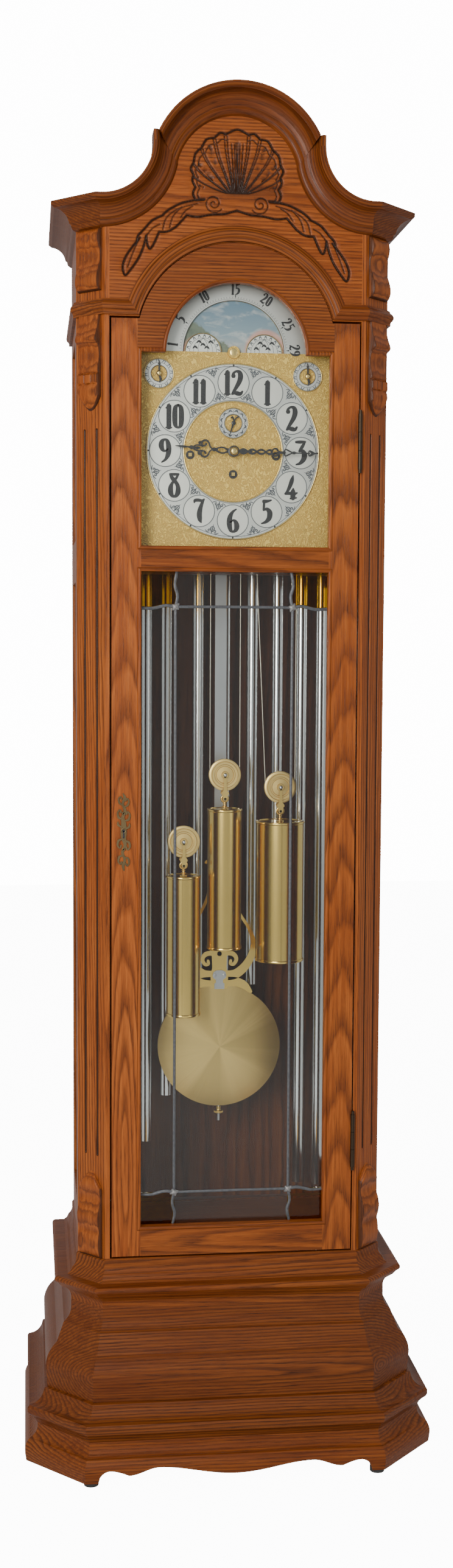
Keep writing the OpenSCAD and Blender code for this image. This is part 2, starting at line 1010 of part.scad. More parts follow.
module moon_disc() {
    color("#7ea3b4") {
        rod_y(0, moon_z, moon_r, plate_y + plate_t + 0.6, plate_y + plate_t + 1.6);
        rod_y(0, moon_z, 3, plate_y - 1.8, plate_y + plate_t + 6);
    }
}

// ---- pendulum -------------------------------------------------------------

module pendulum_stick() {
    color(steel) {
        difference() {
            union() {
                rod_y(0, pivot_z, 8, swing_y - 3, swing_y + 3);
                box(-4, 4, swing_y - 2, swing_y + 2, 1770, pivot_z - 4);
                box(-10, 10, swing_y - 2, swing_y + 2, bob_z - 40, 1775);
            }
            rod_y(0, pivot_z, 2.06, swing_y - 5, swing_y + 5);
        }
        translate([0, swing_y, bob_z - bob_r - 28]) cylinder(r = 2.5, h = bob_r);
    }
}

// One half of the flat lyre, drawn on the right of the stick.
module lyre_half() {
    difference() {
        translate([0, 860]) circle(r = 64, $fn = 96);
        translate([0, 868]) circle(r = 52, $fn = 96);
        translate([-80, 700]) square([80, 260]);
        translate([0, 870]) square([80, 80]);
    }
    intersection() {
        difference() {
            translate([0, 870]) circle(r = 63, $fn = 96);
            translate([-4, 872]) circle(r = 53, $fn = 96);
        }
        translate([0, 868]) square([80, 40]);
    }
    intersection() {
        difference() {
            translate([96, 960]) circle(r = 84, $fn = 96);
            translate([98, 962]) circle(r = 74, $fn = 96);
        }
        translate([0, 904]) square([52, 112]);
    }
    difference() {
        translate([0, bob_z + bob_r - 20]) square([58, 44]);
        translate([66, bob_z + bob_r + 32]) circle(r = 32, $fn = 64);
        translate([0, bob_z]) circle(r = bob_r + 0.4, $fn = 128);
    }
    translate([0, 800]) square([24, 62]);
    difference() {
        translate([34, 846]) circle(r = 18);
        translate([36, 838]) circle(r = 9);
        translate([26, 820]) square([30, 16]);
    }
    translate([0, 1004]) square([26, 12]);
}

module pendulum_lyre() {
    color(brass)
        upright(swing_y - 5, swing_y - 2)
            both_sides() lyre_half();
}

module pendulum_bob() {
    edge = 4;
    swell = 15;
    lens_r = (pow(bob_r, 2) + pow(swell - edge, 2)) / (2 * (swell - edge));
    reach = asin(bob_r / lens_r);
    color(brass)
        translate([0, swing_y, bob_z])
            difference() {
                rotate([90, 0, 0])
                    rotate_extrude($fn = 128)
                        polygon(concat(
                            arc(0, lens_r - swell, lens_r, -90, -90 + reach, 10),
                            arc(0, swell - lens_r, lens_r, 90 - reach, 90, 10)
                        ));
                translate([-10.2, -2.6, -200]) cube([20.4, 5.2, 400]);
            }
}

module rating_nut() {
    color(brass)
        translate([0, swing_y, bob_z - bob_r - 14])
            difference() {
                union() {
                    cylinder(r = 8, h = 5);
                    translate([0, 0, 5]) cylinder(r = 4.5, h = 7);
                }
                translate([0, 0, -1]) cylinder(r = 2.56, h = 20);
            }
}

// ---- weights, cables and drums --------------------------------------------

// A brass shell round a lead core: the core's bore stands in for the lighter filling.
module weight(x, pulley_z, r, bore_r) {
    top = pulley_z - hang;
    color(brass) {
        difference() {
            translate([x, weight_y, top - weight_len]) cylinder(r = r, h = weight_len, $fn = 96);
            translate([x, weight_y, top - weight_len + 6]) cylinder(r = bore_r, h = weight_len - 12);
        }
        translate([x, weight_y, top - 1]) cylinder(r = 5, h = 8);
        translate([x, weight_y, top + 6]) cylinder(r = 2.2, h = hang - pulley_r - 9);
        box(x - 5, x + 5, weight_y - 9.5, weight_y + 9.5, top + 22, top + 26);
        for (s = [-1, 1])
            box(x - 4, x + 4, weight_y + s * 8.25 - 1.25, weight_y + s * 8.25 + 1.25,
                top + 22, top + hang + 5);
        rod_y(x, pulley_z, 2, weight_y - 11, weight_y + 11);
    }
}

module left_weight() {
    weight(-wind_x, left_pulley_z, weight_r, 20);
}

module centre_weight() {
    weight(0, centre_pulley_z, weight_r, 20);
}

module right_weight() {
    weight(right_pulley_x, right_pulley_z, heavy_r, 33);
}

module pulley(x, z) {
    flange = pulley_r + 3;
    color(brass)
        translate([x, weight_y, z])
            rotate([90, 0, 0])
                rotate_extrude($fn = 96)
                    polygon([
                        [pulley_pin, -5], [flange, -5], [flange, -3], [pulley_r, -1.2],
                        [pulley_r, 1.2], [flange, 3], [flange, 5], [pulley_pin, 5]
                    ]);
}

module left_pulley() {
    pulley(-wind_x, left_pulley_z);
}

module centre_pulley() {
    pulley(0, centre_pulley_z);
}

module right_pulley() {
    pulley(right_pulley_x, right_pulley_z);
}

// A wire rope: down from the drum, round the pulley and up to its anchor.
module cable(x, z, drum_line_x, drum_z, side) {
    fall_x = x + side * line_r;
    rise = drum_z - z;
    lean = atan2(drum_line_x - fall_x, rise);
    color(steel) {
        translate([fall_x, weight_y, z])
            rotate([0, lean, 0])
                cylinder(r = cable_r, h = rise / cos(lean), $fn = 16);
        translate([x - side * line_r, weight_y, z])
            cylinder(r = cable_r, h = seat_z - z, $fn = 16);
        translate([x, weight_y, z])
            rotate([90, 0, 0])
                rotate([0, 0, 180])
                    rotate_extrude(angle = 180, $fn = 96)
                        translate([line_r, 0]) circle(r = cable_r, $fn = 16);
    }
}

module left_cable() {
    cable(-wind_x, left_pulley_z, -wind_x - line_r, wind_z, -1);
}

module centre_cable() {
    cable(0, centre_pulley_z, line_r, wind_low_z, 1);
}

module right_cable() {
    cable(right_pulley_x, right_pulley_z, wind_x - line_r, wind_z, -1);
}

// A winding drum on its arbor; the square end shows in the dial's winding hole.
module drum(x, z) {
    color(brass) {
        rod_y(x, z, pulley_r, -20, 30);
        rod_y(x, z, pulley_r + 4, -22, -20);
        rod_y(x, z, pulley_r + 4, 30, 32);
        rod_y(x, z, 5, move_front_y - 3, move_back_y + 2);
        translate([x, plate_y - 4, z])
            rotate([-90, 0, 0])
                translate([-2.75, -2.75, 0]) cube([5.5, 5.5, move_front_y - plate_y + 4]);
    }
}

module left_drum() {
    drum(-wind_x, wind_z);
}

module centre_drum() {
    drum(0, wind_low_z);
}

module right_drum() {
    drum(wind_x, wind_z);
}

// ---- what is drawn --------------------------------------------------------

floor_glides();
plinth_skirt();
lower_base_moulding();
bombe_panels();
upper_base_moulding();
bottom_board();
left_corner_post();
right_corner_post();
left_side_frame();
right_side_frame();
side_glasses();
back_panels();
post_carvings();
waist_moulding();
arch_moulding();
fascia_board();
crown_arch_moulding();
crown_side_mouldings();
top_board();
seat_board();
dial_plate();
dial_rings();
movement_frame();
suspension_post();
tube_rack();
chime_tubes();
case_hinge_leaves();
door_left_stile();
door_right_stile();
door_bottom_rail();
door_middle_rail();
door_arched_rail();
clear_panes();
amber_panes();
came_lattice();
escutcheon();
door_hinge_leaves();
hour_hand();
minute_hand();
second_hand();
moon_disc();
chime_selector();
silence_selector();
chime_hammers();
pendulum_stick();
pendulum_lyre();
pendulum_bob();
rating_nut();
left_weight();
centre_weight();
right_weight();
left_pulley();
centre_pulley();
right_pulley();
left_cable();
centre_cable();
right_cable();
left_drum();
centre_drum();
right_drum();
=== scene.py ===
import math

import bmesh
import bpy
import numpy as np
from mathutils import Matrix, Vector
from mathutils.geometry import delaunay_2d_cdt


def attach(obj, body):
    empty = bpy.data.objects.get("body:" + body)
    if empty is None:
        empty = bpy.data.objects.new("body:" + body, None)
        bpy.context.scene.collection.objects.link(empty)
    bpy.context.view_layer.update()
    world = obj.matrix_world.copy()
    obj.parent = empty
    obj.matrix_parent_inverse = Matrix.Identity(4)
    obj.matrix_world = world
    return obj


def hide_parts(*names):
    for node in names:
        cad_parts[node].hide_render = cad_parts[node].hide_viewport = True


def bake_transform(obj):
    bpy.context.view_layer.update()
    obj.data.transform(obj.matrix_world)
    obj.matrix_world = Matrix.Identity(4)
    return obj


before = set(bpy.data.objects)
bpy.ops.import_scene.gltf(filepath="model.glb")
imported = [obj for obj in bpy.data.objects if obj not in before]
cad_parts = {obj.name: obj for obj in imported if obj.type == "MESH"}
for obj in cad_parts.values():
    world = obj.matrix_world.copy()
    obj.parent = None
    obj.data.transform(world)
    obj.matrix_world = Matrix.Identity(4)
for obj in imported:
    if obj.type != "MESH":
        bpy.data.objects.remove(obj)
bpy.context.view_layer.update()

# Pieces are drawn in millimetres, as in the CAD source, and written in metres by way of MM.
MM = 0.001

# Places and sizes repeated from the CAD source.
FRONT_Y, FRONT_HALF = -115, 215
CANT_Y, SIDE_X = -70, 260
FLUTE_OUT, FLUTE_MID_Z, FLUTE_HALF = 13.5, 1140, 609
DOOR_Y, GLASS_Y, KEY_X = -118, -102.5, -184.5
CAME_X, CAME_LOW, CAME_HIGH = 98, 466, 1458
PLATE_Y, DIAL_Z, SEC_Z = -76, 1716, 1763
MOON_Z, MAP_X, MAP_R = 1879, 51, 30
SEL_X, SEL_Z = 124, 1842
WIND_X, WIND_Z, WIND_LOW_Z = 72, DIAL_Z - 6, DIAL_Z - 37
SWING_Y, BOB_Z, BOB_R = 97, 672, 111
LYRE_Y0, LYRE_Y1 = 92, 95
WEIGHT_Y, HANG, WEIGHT_LEN = 22, 59, 248
LINE_R, CABLE_R, SEAT_Z = 26.1, 0.9, 1518


# ---- node trees ------------------------------------------------------------

class Flow:
    """A value on a node's output, so that sums of nodes read as arithmetic."""

    def __init__(self, nodes, socket):
        self.nodes, self.socket = nodes, socket

    def maths(self, kind, other=0.0, clamp=False):
        return self.nodes.add("Math", {0: self, 1: other}, operation=kind, use_clamp=clamp)

    def __add__(self, other):
        return self.maths("ADD", other)

    def __sub__(self, other):
        return self.maths("SUBTRACT", other)

    def __mul__(self, other):
        return self.maths("MULTIPLY", other)

    def __abs__(self):
        return self.maths("ABSOLUTE")


class Nodes:
    """A node tree being built. Each method adds a node and gives its first output."""

    def __init__(self, tree):
        self.tree = tree

    def plug(self, socket, value):
        if isinstance(value, Flow):
            self.tree.links.new(value.socket, socket)
        elif socket.type == "RGBA":
            socket.default_value = (*value, 1.0)
        else:
            socket.default_value = value

    def add(self, kind, ins=None, out=0, **props):
        """A shader node with its properties set and its inputs set or linked."""
        made = self.tree.nodes.new("ShaderNode" + kind)
        for key, value in props.items():
            setattr(made, key, value)
        for key, value in (ins or {}).items():
            self.plug(made.inputs[key], value)
        return Flow(self, made.outputs[out])

    def ramp(self, fac, stops):
        """A colour ramp; stops are (place, colour or grey)."""
        made = self.add("ValToRGB", {0: fac})
        items = made.socket.node.color_ramp.elements
        while len(items) < len(stops):
            items.new(0.5)
        for item, (place, colour) in zip(items, stops):
            item.position = place
            item.color = (*colour, 1) if isinstance(colour, tuple) else (colour,) * 3 + (1,)
        return made

    def mix(self, fac, a, b):
        return self.add("Mix", {0: fac, 6: a, 7: b}, 2, data_type="RGBA")

    def here(self):
        return self.add("TexCoord", out="Object")

    def coords(self, scale=(1, 1, 1), move=(0, 0, 0), turn=(0, 0, 0), source=None):
        return self.add("Mapping", {"Vector": source or self.here(), "Location": move, "Rotation": turn,
                                    "Scale": scale})

    def xyz(self):
        """The three parts of the object's own coordinates."""
        apart = self.add("SeparateXYZ", {0: self.here()}).socket.node
        return [Flow(self, socket) for socket in apart.outputs]

    def vector(self, kind, a, b=(0, 0, 0), out=0):
        return self.add("VectorMath", {0: a, 1: b}, out, operation=kind)

    def join(self, x, y, z):
        return self.add("CombineXYZ", {0: x, 1: y, 2: z})

    def noise(self, where, scale, detail=2.0, rough=0.5, distort=0.0):
        return self.add("TexNoise", {"Vector": where, "Scale": scale, "Detail": detail,
                                     "Roughness": rough, "Distortion": distort})

    def bump(self, height, distance, strength=1.0, under=None):
        ins = {"Height": height, "Distance": distance, "Strength": strength}
        if under:
            ins["Normal"] = under
        return self.add("Bump", ins)


class Material(Nodes):
    """A new material; principled() or end() finishes it and gives it back."""

    def __init__(self, name):
        self.made = bpy.data.materials.new(name)
        self.made.use_nodes = True
        super().__init__(self.made.node_tree)
        self.tree.nodes.clear()

    def end(self, shader):
        out = self.tree.nodes.new("ShaderNodeOutputMaterial")
        self.tree.links.new(shader.socket, out.inputs[0])
        return self.made

    def principled(self, **ins):
        """Inputs are named as on the shader, with _ for each space."""
        return self.end(self.add("BsdfPrincipled", {key.replace("_", " "): value for key, value in ins.items()}))


# ---- materials -------------------------------------------------------------

# The colour of the painted shade laid into the oak's flutes, cuts and carved hollows.
RECESS_SHADE_COLOUR = (0.022, 0.010, 0.006)


def round_bend(n, centre):
    """Grain bent round the point centre (X, height) on both sides of the case, level beyond it."""
    x, y, z = n.xyz()
    out = abs(x) - centre[0]
    across = out.maths("MINIMUM", 0.0) if centre[0] else x
    up = z - centre[1]
    along = up.maths("ARCTAN2", across) * 0.14
    if centre[0]:
        along = along + out.maths("MAXIMUM", 0.0)
    return n.join(n.vector("LENGTH", n.join(across, up, 0.0), out="Value"), y, along)


def flute_glaze(n):
    """Painted shade where the canted posts' flutes lie below the face."""
    x, y, z = n.xyz()
    out = abs(x)
    sunk = (out - y) * -1 + (FRONT_HALF - FRONT_Y) * MM
    across = out + y - (FRONT_HALF + SIDE_X + FRONT_Y + CANT_Y) / 2 * MM
    aside = abs(abs(across) - FLUTE_OUT * math.sqrt(2) * MM)
    inside = aside.maths("LESS_THAN", 6 * MM) * abs(z - FLUTE_MID_Z * MM).maths("LESS_THAN", FLUTE_HALF * MM)
    return inside * n.ramp(sunk * 200.0, [(0.05, 0.0), (0.40, 0.92)])


def carve_glaze(n):
    """Painted shade in the carving, as the mesh's own attribute says."""
    return n.add("Attribute", out="Fac", attribute_name="carve")


def oak(name, grain="z", shift=(0.03, 0.11, 0.4), tilt=(0.05, 0.03), tone=1.0, pitch=62.0, painted_shade=None):
    """Stained oak. Growth rings lie round an axis near the grain's line, so that a flat
    face shows cathedral figure; pores are long dark flecks, thickest in the early wood."""
    n = Material(name)
    if isinstance(grain, tuple):
        where = round_bend(n, grain)
    elif grain == "z":
        where = n.here()
    else:
        x, y, z = n.xyz()
        where = n.join(z, y, x)

    def drawn_out(length, scale, detail, rough):
        return n.noise(n.coords((1, 1, length), shift, source=where), scale, detail, rough)

    def stain(*colour):
        return tuple(c * tone for c in colour)

    log = n.coords((1, 1, 0.14), shift, (*tilt, 0), where)
    rings = n.add("TexWave", {"Vector": log, "Scale": pitch, "Distortion": 7.0, "Detail": 3.0,
                              "Detail Scale": 0.4, "Detail Roughness": 0.6},
                  wave_type="RINGS", rings_direction="Z", wave_profile="SAW")
    pores = n.ramp(drawn_out(0.026, 1250, 2.0, 0.6), [(0.52, 0.0), (0.66, 1.0)])
    early = n.ramp(rings, [(0.0, 1.0), (0.18, 0.75), (0.45, 0.22), (0.82, 0.0), (1.0, 0.8)])
    broad = drawn_out(0.25, 9, 3, 0.55)
    fibre = drawn_out(0.03, 210, 3, 0.6)
    body = n.ramp(fibre, [(0.25, stain(0.125, 0.026, 0.0045)), (0.5, stain(0.20, 0.047, 0.0075)),
                          (0.78, stain(0.31, 0.085, 0.014))])
    shade = n.mix(n.ramp(broad, [(0.35, 0.0), (0.72, 1.0)]) * 0.5, body, stain(0.36, 0.105, 0.018))
    swing = early * n.ramp(broad, [(0.36, 0.46), (0.64, 0.86)])
    shade = n.mix(swing, shade, stain(0.062, 0.0145, 0.0034))
    speck = pores * (early * 0.55 + 0.30)
    shade = n.mix(speck, shade, stain(0.030, 0.0075, 0.0024))
    # Painted shade in recesses, given as a function of the nodes, darkens the stain there.
    if painted_shade:
        shade = n.mix(painted_shade(n), shade, RECESS_SHADE_COLOUR)
    return n.principled(Base_Color=shade, Roughness=broad * 0.16 + 0.32, Specular_IOR_Level=0.16, Coat_Weight=0.03,
                        Coat_Roughness=0.2, Normal=n.bump(fibre, 0.0001, 0.5, n.bump(speck, 0.00025, 0.7)))


def metal(name, colour, dark, rough, brush=(1, 1, 1), scale=900, spread=0.12, depth=0.00002, tarnish=0.25):
    """Metal with brushing drawn out along the axes where brush is small, and a light tarnish."""
    n = Material(name)
    lines = n.noise(n.coords(brush), scale, 3, 0.6)
    patch = n.noise(n.coords(), 14, 4, 0.6)
    tint = n.mix(n.ramp(patch, [(0.4, 0.0), (0.75, 1.0)]) * tarnish, colour, dark)
    return n.principled(Base_Color=n.mix(lines * 0.18, tint, dark), Metallic=1.0,
                        Roughness=lines * spread + rough, Normal=n.bump(lines, depth, 0.6))


def bob_brass():
    """Brass spun on a lathe: fine rings that throw the light out in rays from the bob's middle; its colour also carries
    painted highlight and shade, lighter and darker rays and broad darker wedges round the middle.
    """
    n = Material("bob_brass")
    flat = n.vector("MULTIPLY", n.vector("SUBTRACT", n.here(), (0, 0, BOB_Z * MM)), (1, 0, 1))
    way = n.vector("NORMALIZE", flat)
    sheen_rays, broad = n.noise(way, 34, 4, 0.7), n.noise(way, 1.7, 1, 0.5)
    # Painted highlight and shade: the colour is lighter and darker in rays and broad wedges round the bob's middle.
    tint = n.mix(n.ramp(sheen_rays, [(0.35, 0.0), (0.7, 1.0)]) * 0.35, (0.86, 0.62, 0.22), (0.66, 0.45, 0.14))
    tint = n.mix(n.ramp(broad, [(0.42, 0.0), (0.6, 1.0)]) * 0.42, tint, (0.42, 0.29, 0.09))
    return n.principled(Base_Color=tint, Metallic=1.0, Roughness=sheen_rays * 0.12 + 0.28, Anisotropic=0.35,
                        Anisotropic_Rotation=0.25, Normal=n.bump(sheen_rays, 0.00001, 0.4),
                        Tangent=n.add("Tangent", direction_type="RADIAL", axis="Y"))


def glass(name, tint, rough, ripple, depth, strength, uneven, film=0.0):
    """Thin glass: what lies behind shows through, with a faint mirror and a trace of dust over it."""
    n = Material(name)
    waves = n.noise(n.coords(), ripple, 3, 0.5, 0.4)
    normal = n.bump(waves, depth, strength)
    shade = n.mix(waves * uneven, tint, tuple(c * 0.55 for c in tint))
    clear = n.add("BsdfTransparent", {"Color": shade})
    gloss = n.add("BsdfGlossy", {"Color": (1.0, 1.0, 1.0), "Roughness": rough, "Normal": normal})
    edge = n.add("Fresnel", {"IOR": 1.33, "Normal": normal})
    pane = n.add("MixShader", {0: edge * 0.9, 1: clear, 2: gloss})
    if film:
        dust = n.add("BsdfDiffuse", {"Color": (0.80, 0.81, 0.80)})
        pane = n.add("MixShader", {0: waves * film, 1: pane, 2: dust})
    return n.end(pane)


def plain(name, colour, dark, rough, scale=60, depth=0.0001, metallic=0.0):
    """Paint or plastic with a mottled tone and a fine texture."""
    n = Material(name)
    patch = n.noise(n.coords(), scale, 4, 0.6)
    return n.principled(Base_Color=n.mix(n.ramp(patch, [(0.35, 0.0), (0.7, 1.0)]), colour, dark), Metallic=metallic,
                        Roughness=patch * 0.2 + rough, Normal=n.bump(patch, depth, 0.5))


def gilt_plate():
    """Gilt brass cut all over with curling lines: contour lines of a warped noise, raised and bright."""
    n = Material("engraved_gilt")
    warp = Flow(n, n.noise(n.coords(), 60, 2, 0.5).socket.node.outputs["Color"])
    where = n.vector("ADD", n.here(), n.vector("MULTIPLY", warp, (0.012, 0.012, 0.012)))
    curls = n.noise(n.coords((1, 1, 0.72), source=where), 105, 1.0, 0.4, 0.9)
    raised = n.ramp((curls * 46.0).maths("SINE") * 0.5 + 0.5, [(0.0, 0.0), (0.45, 0.1), (0.75, 1.0)])
    stipple = n.noise(n.coords(), 1300, 1, 0.5)
    ground = n.mix(stipple, (0.50, 0.28, 0.04), (0.70, 0.43, 0.08))
    gold = n.mix(n.noise(n.coords(), 24, 3, 0.5), (1.0, 0.70, 0.17), (0.98, 0.64, 0.13))
    return n.principled(Base_Color=n.mix(raised, ground, gold), Metallic=0.25, Roughness=raised * -0.14 + 0.46,
                        Normal=n.bump(raised, 0.0008, 0.9, n.bump(stipple, 0.0002, 0.4)))


def moon_paint():
    """A painted sky with clouds, hills low on one side and a pale moon behind each globe."""
    n = Material("moon_painting")
    x, _, z = n.xyz()
    high = z - MOON_Z * MM
    cloud = n.noise(n.coords((1, 1, 2.2)), 32, 5, 0.6, 0.6)
    rough = n.noise(n.coords(), 90, 4, 0.7)
    sky = n.ramp(high * 13.0, [(0.0, (0.46, 0.45, 0.42)), (0.35, (0.24, 0.33, 0.38)), (1.0, (0.13, 0.22, 0.30))])
    shade = n.mix(n.ramp(cloud, [(0.50, 0.0), (0.70, 0.8)]), sky, (0.55, 0.56, 0.55))
    hill_top = x * -0.60 + 0.008 + (rough - 0.5) * 0.028
    under = (hill_top - high).maths("MULTIPLY", 220.0, clamp=True)
    shade = n.mix(under * 0.92, shade, n.mix(rough, (0.035, 0.055, 0.035), (0.20, 0.24, 0.15)))
    for side in (1, -1):
        moon = (side * (MAP_X + 2) * MM, 0, (MOON_Z + 5 * side) * MM)
        gap = n.vector("DISTANCE", n.join(x, 0.0, z), moon, "Value")
        disc = n.ramp(gap * 20.0, [(0.62, 1.0), (0.72, 0.0)])
        shade = n.mix(disc * 0.75, shade, n.mix(cloud, (0.62, 0.22, 0.16), (0.80, 0.50, 0.38)))
    return n.principled(Base_Color=shade, Roughness=n.ramp(rough, [(0.2, 0.35), (0.8, 0.6)]),
                        Normal=n.bump(rough, 0.0001, 0.4))


OAK_STILE_R = oak("oak_stile_right", "z", (-0.182, 0.139, 0.35), (-0.52, -0.02), 1.17, 50.0)
OAK_RAIL = oak("oak_rail", "x", (-1.545, 0.175, 0.3), (0.12, 0.04), 0.90)
OAK_ARCH_BEAD = oak("oak_arch_bead", (0.0, 1.869), (0.02, 0.15, 0.0), (0.10, 0.05), 0.90)
# The base's oak is toned darker than the trunk's: painted shade on the lower case.
OAK_BASE = oak("oak_base", "x", (-0.17, 0.16, 0.2), (0.20, 0.03), 0.66)
OAK_FASCIA = oak("oak_fascia", "x", (-2.13, 0.15, 0.25), (0.14, 0.05), 1.14, painted_shade=carve_glaze)
OAK_CARVED = oak("oak_carved", "z", (0.0, -0.145, 0.2), (0.0, 0.0), 1.18, 80.0, carve_glaze)
BRASS = metal("brass", (0.92, 0.65, 0.20), (0.55, 0.36, 0.09), 0.26)
BRASS_SATIN = metal("brass_satin", (0.95, 0.67, 0.19), (0.76, 0.50, 0.12), 0.17, (1, 1, 0.02),
                    spread=0.05, depth=0.000004, tarnish=0.12)
BRASS_SPUN = metal("brass_spun", (0.90, 0.65, 0.24), (0.62, 0.43, 0.13), 0.36, scale=700, spread=0.08)
GILT = metal("gilt_edge", (0.90, 0.68, 0.26), (0.62, 0.42, 0.12), 0.22)
SILVER_PALE = metal("silver_pale", (0.86, 0.85, 0.79), (0.66, 0.65, 0.58), 0.40, (0.1, 1, 1), 700, 0.1)
NICKEL = metal("nickel", (0.78, 0.79, 0.79), (0.52, 0.52, 0.51), 0.15, (1, 1, 0.02), 500, 0.04, 0.000003, 0.15)
STEEL = metal("steel_bright", (0.58, 0.59, 0.60), (0.34, 0.34, 0.35), 0.28)
WIRE = metal("wire_rope", (0.55, 0.50, 0.40), (0.25, 0.22, 0.17), 0.35, scale=1600, spread=0.1, depth=0.0002)
ANTIQUE = metal("antique_brass", (0.15, 0.11, 0.055), (0.03, 0.023, 0.014), 0.46, tarnish=0.85)
LEAD = plain("lead", (0.105, 0.11, 0.12), (0.055, 0.058, 0.065), 0.42, 260, 0.0002, 0.4)
SOLDER = plain("solder", (0.30, 0.30, 0.30), (0.12, 0.12, 0.12), 0.42, 420, 0.0008, 0.75)
BLACK = plain("black_lacquer", (0.012, 0.012, 0.013), (0.03, 0.03, 0.032), 0.25, 300, 0.00003)
INK = plain("numeral_enamel", (0.010, 0.010, 0.012), (0.018, 0.018, 0.02), 0.4, 300, 0.00002)
ENGRAVED = plain("engraved_line", (0.060, 0.068, 0.082), (0.085, 0.095, 0.112), 0.5, 500, 0.00002)
GLASS = glass("clear_glass", (0.95, 0.965, 0.96), 0.03, 4, 0.0004, 0.08, 0.04, 0.010)

# The CAD pieces that stay as they are, by finish.
for finish, parts in (
        (plain("glide_plastic", (0.02, 0.02, 0.02), (0.035, 0.033, 0.03), 0.55), "floor_glides"),
        # Toned darker than the trunk's oak, as the base is: painted shade.
        (oak("oak_mould", "x", (-0.31, 0.2, 0.6), (0.16, 0.02), 0.80),
         "plinth_skirt upper_base_moulding waist_moulding"),
        (OAK_BASE, "lower_base_moulding bombe_panels bottom_board top_board seat_board"),
        (oak("oak_post", "z", (0.21, 0.17, 0.3), (0.10, 0.06), 1.26, painted_shade=flute_glaze),
         "left_corner_post right_corner_post"),
        (oak("oak_side", "z", (0.4, 0.02, 0.5), (0.05, 0.25)), "left_side_frame right_side_frame"),
        (oak("back_wood", "z", (0.1, 0.5, 0.0), (0.02, 0.02), 0.52), "back_panels"),
        (oak("oak_band", (0.0, 1.884), (0.02, 0.15, 0.0), (0.10, 0.05), 0.84), "arch_moulding"),
        (oak("oak_pediment", (0.0, 2.149), (0.02, 0.20, 0.2), (0.10, 0.05), 0.66), "crown_arch_moulding"),
        (oak("oak_crown", (0.223, 2.196), (0.03, 0.21, 0.5), (0.08, 0.05), 0.64), "crown_side_mouldings"),
        (oak("oak_stile_left", "z", (0.182, 0.139, 0.2), (0.50, 0.02), 1.32, 50.0), "door_left_stile"),
        (OAK_STILE_R, "door_right_stile"),
        (oak("oak_low_rail", "x", (-0.385, 0.16, 0.1), (0.18, 0.06), 0.98), "door_bottom_rail"),
        (OAK_RAIL, "door_middle_rail"),
        (oak("oak_arch", "x", (-1.8, 0.14, 0.0), (0.16, 0.05), 0.84), "door_arched_rail"),
        (GLASS, "side_glasses clear_panes"),
        (glass("amber_glass", (1.0, 0.70, 0.02), 0.07, 55, 0.002, 0.3, 0.5), "amber_panes"),
        (gilt_plate(), "dial_plate"), (moon_paint(), "moon_disc"),
        (metal("silvered", (0.80, 0.80, 0.76), (0.58, 0.57, 0.52), 0.34, (0.1, 1, 1), 800), "dial_rings"),
        (BRASS, "movement_frame suspension_post chime_hammers left_drum centre_drum right_drum"),
        (plain("dark_iron", (0.03, 0.03, 0.032), (0.06, 0.058, 0.055), 0.45), "tube_rack"),
        (NICKEL, "chime_tubes"), (STEEL, "pendulum_stick"), (bob_brass(), "pendulum_bob"),
        (metal("dark_bronze", (0.060, 0.042, 0.028), (0.020, 0.015, 0.011), 0.42),
         "case_hinge_leaves door_hinge_leaves")):
    for part in parts.split():
        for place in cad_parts[part].material_slots:
            place.material = finish


# ---- mesh building ---------------------------------------------------------

def curve(points, per=5, closed=False):
    """A smooth Catmull-Rom curve through points, with per steps between each two."""
    p = np.array(points, float)
    if per <= 1:
        return p
    n = len(p)
    t = (np.arange(per) / per)[:, None]
    out = []
    for i in range(n if closed else n - 1):
        ends = (i - 1, i, i + 1, i + 2)
        a, b, c, d = (p[k % n if closed else min(max(k, 0), n - 1)] for k in ends)
        out.append(0.5 * (2 * b + (c - a) * t + (2 * a - 5 * b + 4 * c - d) * t ** 2
                          + (3 * b - a - 3 * c + d) * t ** 3))
    if not closed:
        out.append(p[-1:])
    return np.concatenate(out)


def unit(v):
    """Each row of v brought to length 1."""
    return v / np.maximum(np.linalg.norm(v, axis=-1, keepdims=True), 1e-9)


def round_ends(p):
    """Adds narrowing steps past both ends of a stroke, so that it ends round."""
    def narrow(end, before, steps):
        way = unit(end[:2] - before[:2])
        return [[*(end[:2] + way * end[2] * k), end[2] * math.sqrt(1 - k * k)] for k in steps]

    return np.array(narrow(p[0], p[1], (0.9, 0.6)) + p.tolist() + narrow(p[-1], p[-2], (0.6, 0.9)))


def polar(r, degrees, x=0.0, z=0.0):
    """The place at radius r from x, z, degrees clockwise from the top."""
    a = math.radians(degrees)
    return x + r * math.sin(a), z + r * math.cos(a)


def arc_points(cx, cz, r, a0, a1, n):
    """Points along an arc, its angles counted from the right, anticlockwise."""
    return [polar(r, 90 - a0 - (a1 - a0) * k / n, cx, cz) for k in range(n + 1)]


def placed(x, z, angle=0.0, flip=False):
    """A function that moves flat points: mirrors them, turns them clockwise by angle and shifts them."""
    c, s = math.cos(math.radians(angle)), math.sin(math.radians(angle))

    def move(q):
        u = -q[:, 0] if flip else q[:, 0]
        return np.stack([x + u * c + q[:, 1] * s, z - u * s + q[:, 1] * c], 1)
    return move


def put(name, mesh, finish, body, replaced=(), sharp=None):
    """Puts a mesh in the scene as a piece of body; shaded smooth but for edges over sharp degrees, if given."""
    if sharp:
        mesh.set_sharp_from_angle(angle=math.radians(sharp))
    mesh.materials.append(finish)
    made = bpy.data.objects.new(name, mesh)
    bpy.context.scene.collection.objects.link(made)
    if body:
        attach(made, body)
    if replaced:
        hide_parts(*replaced)
    return made


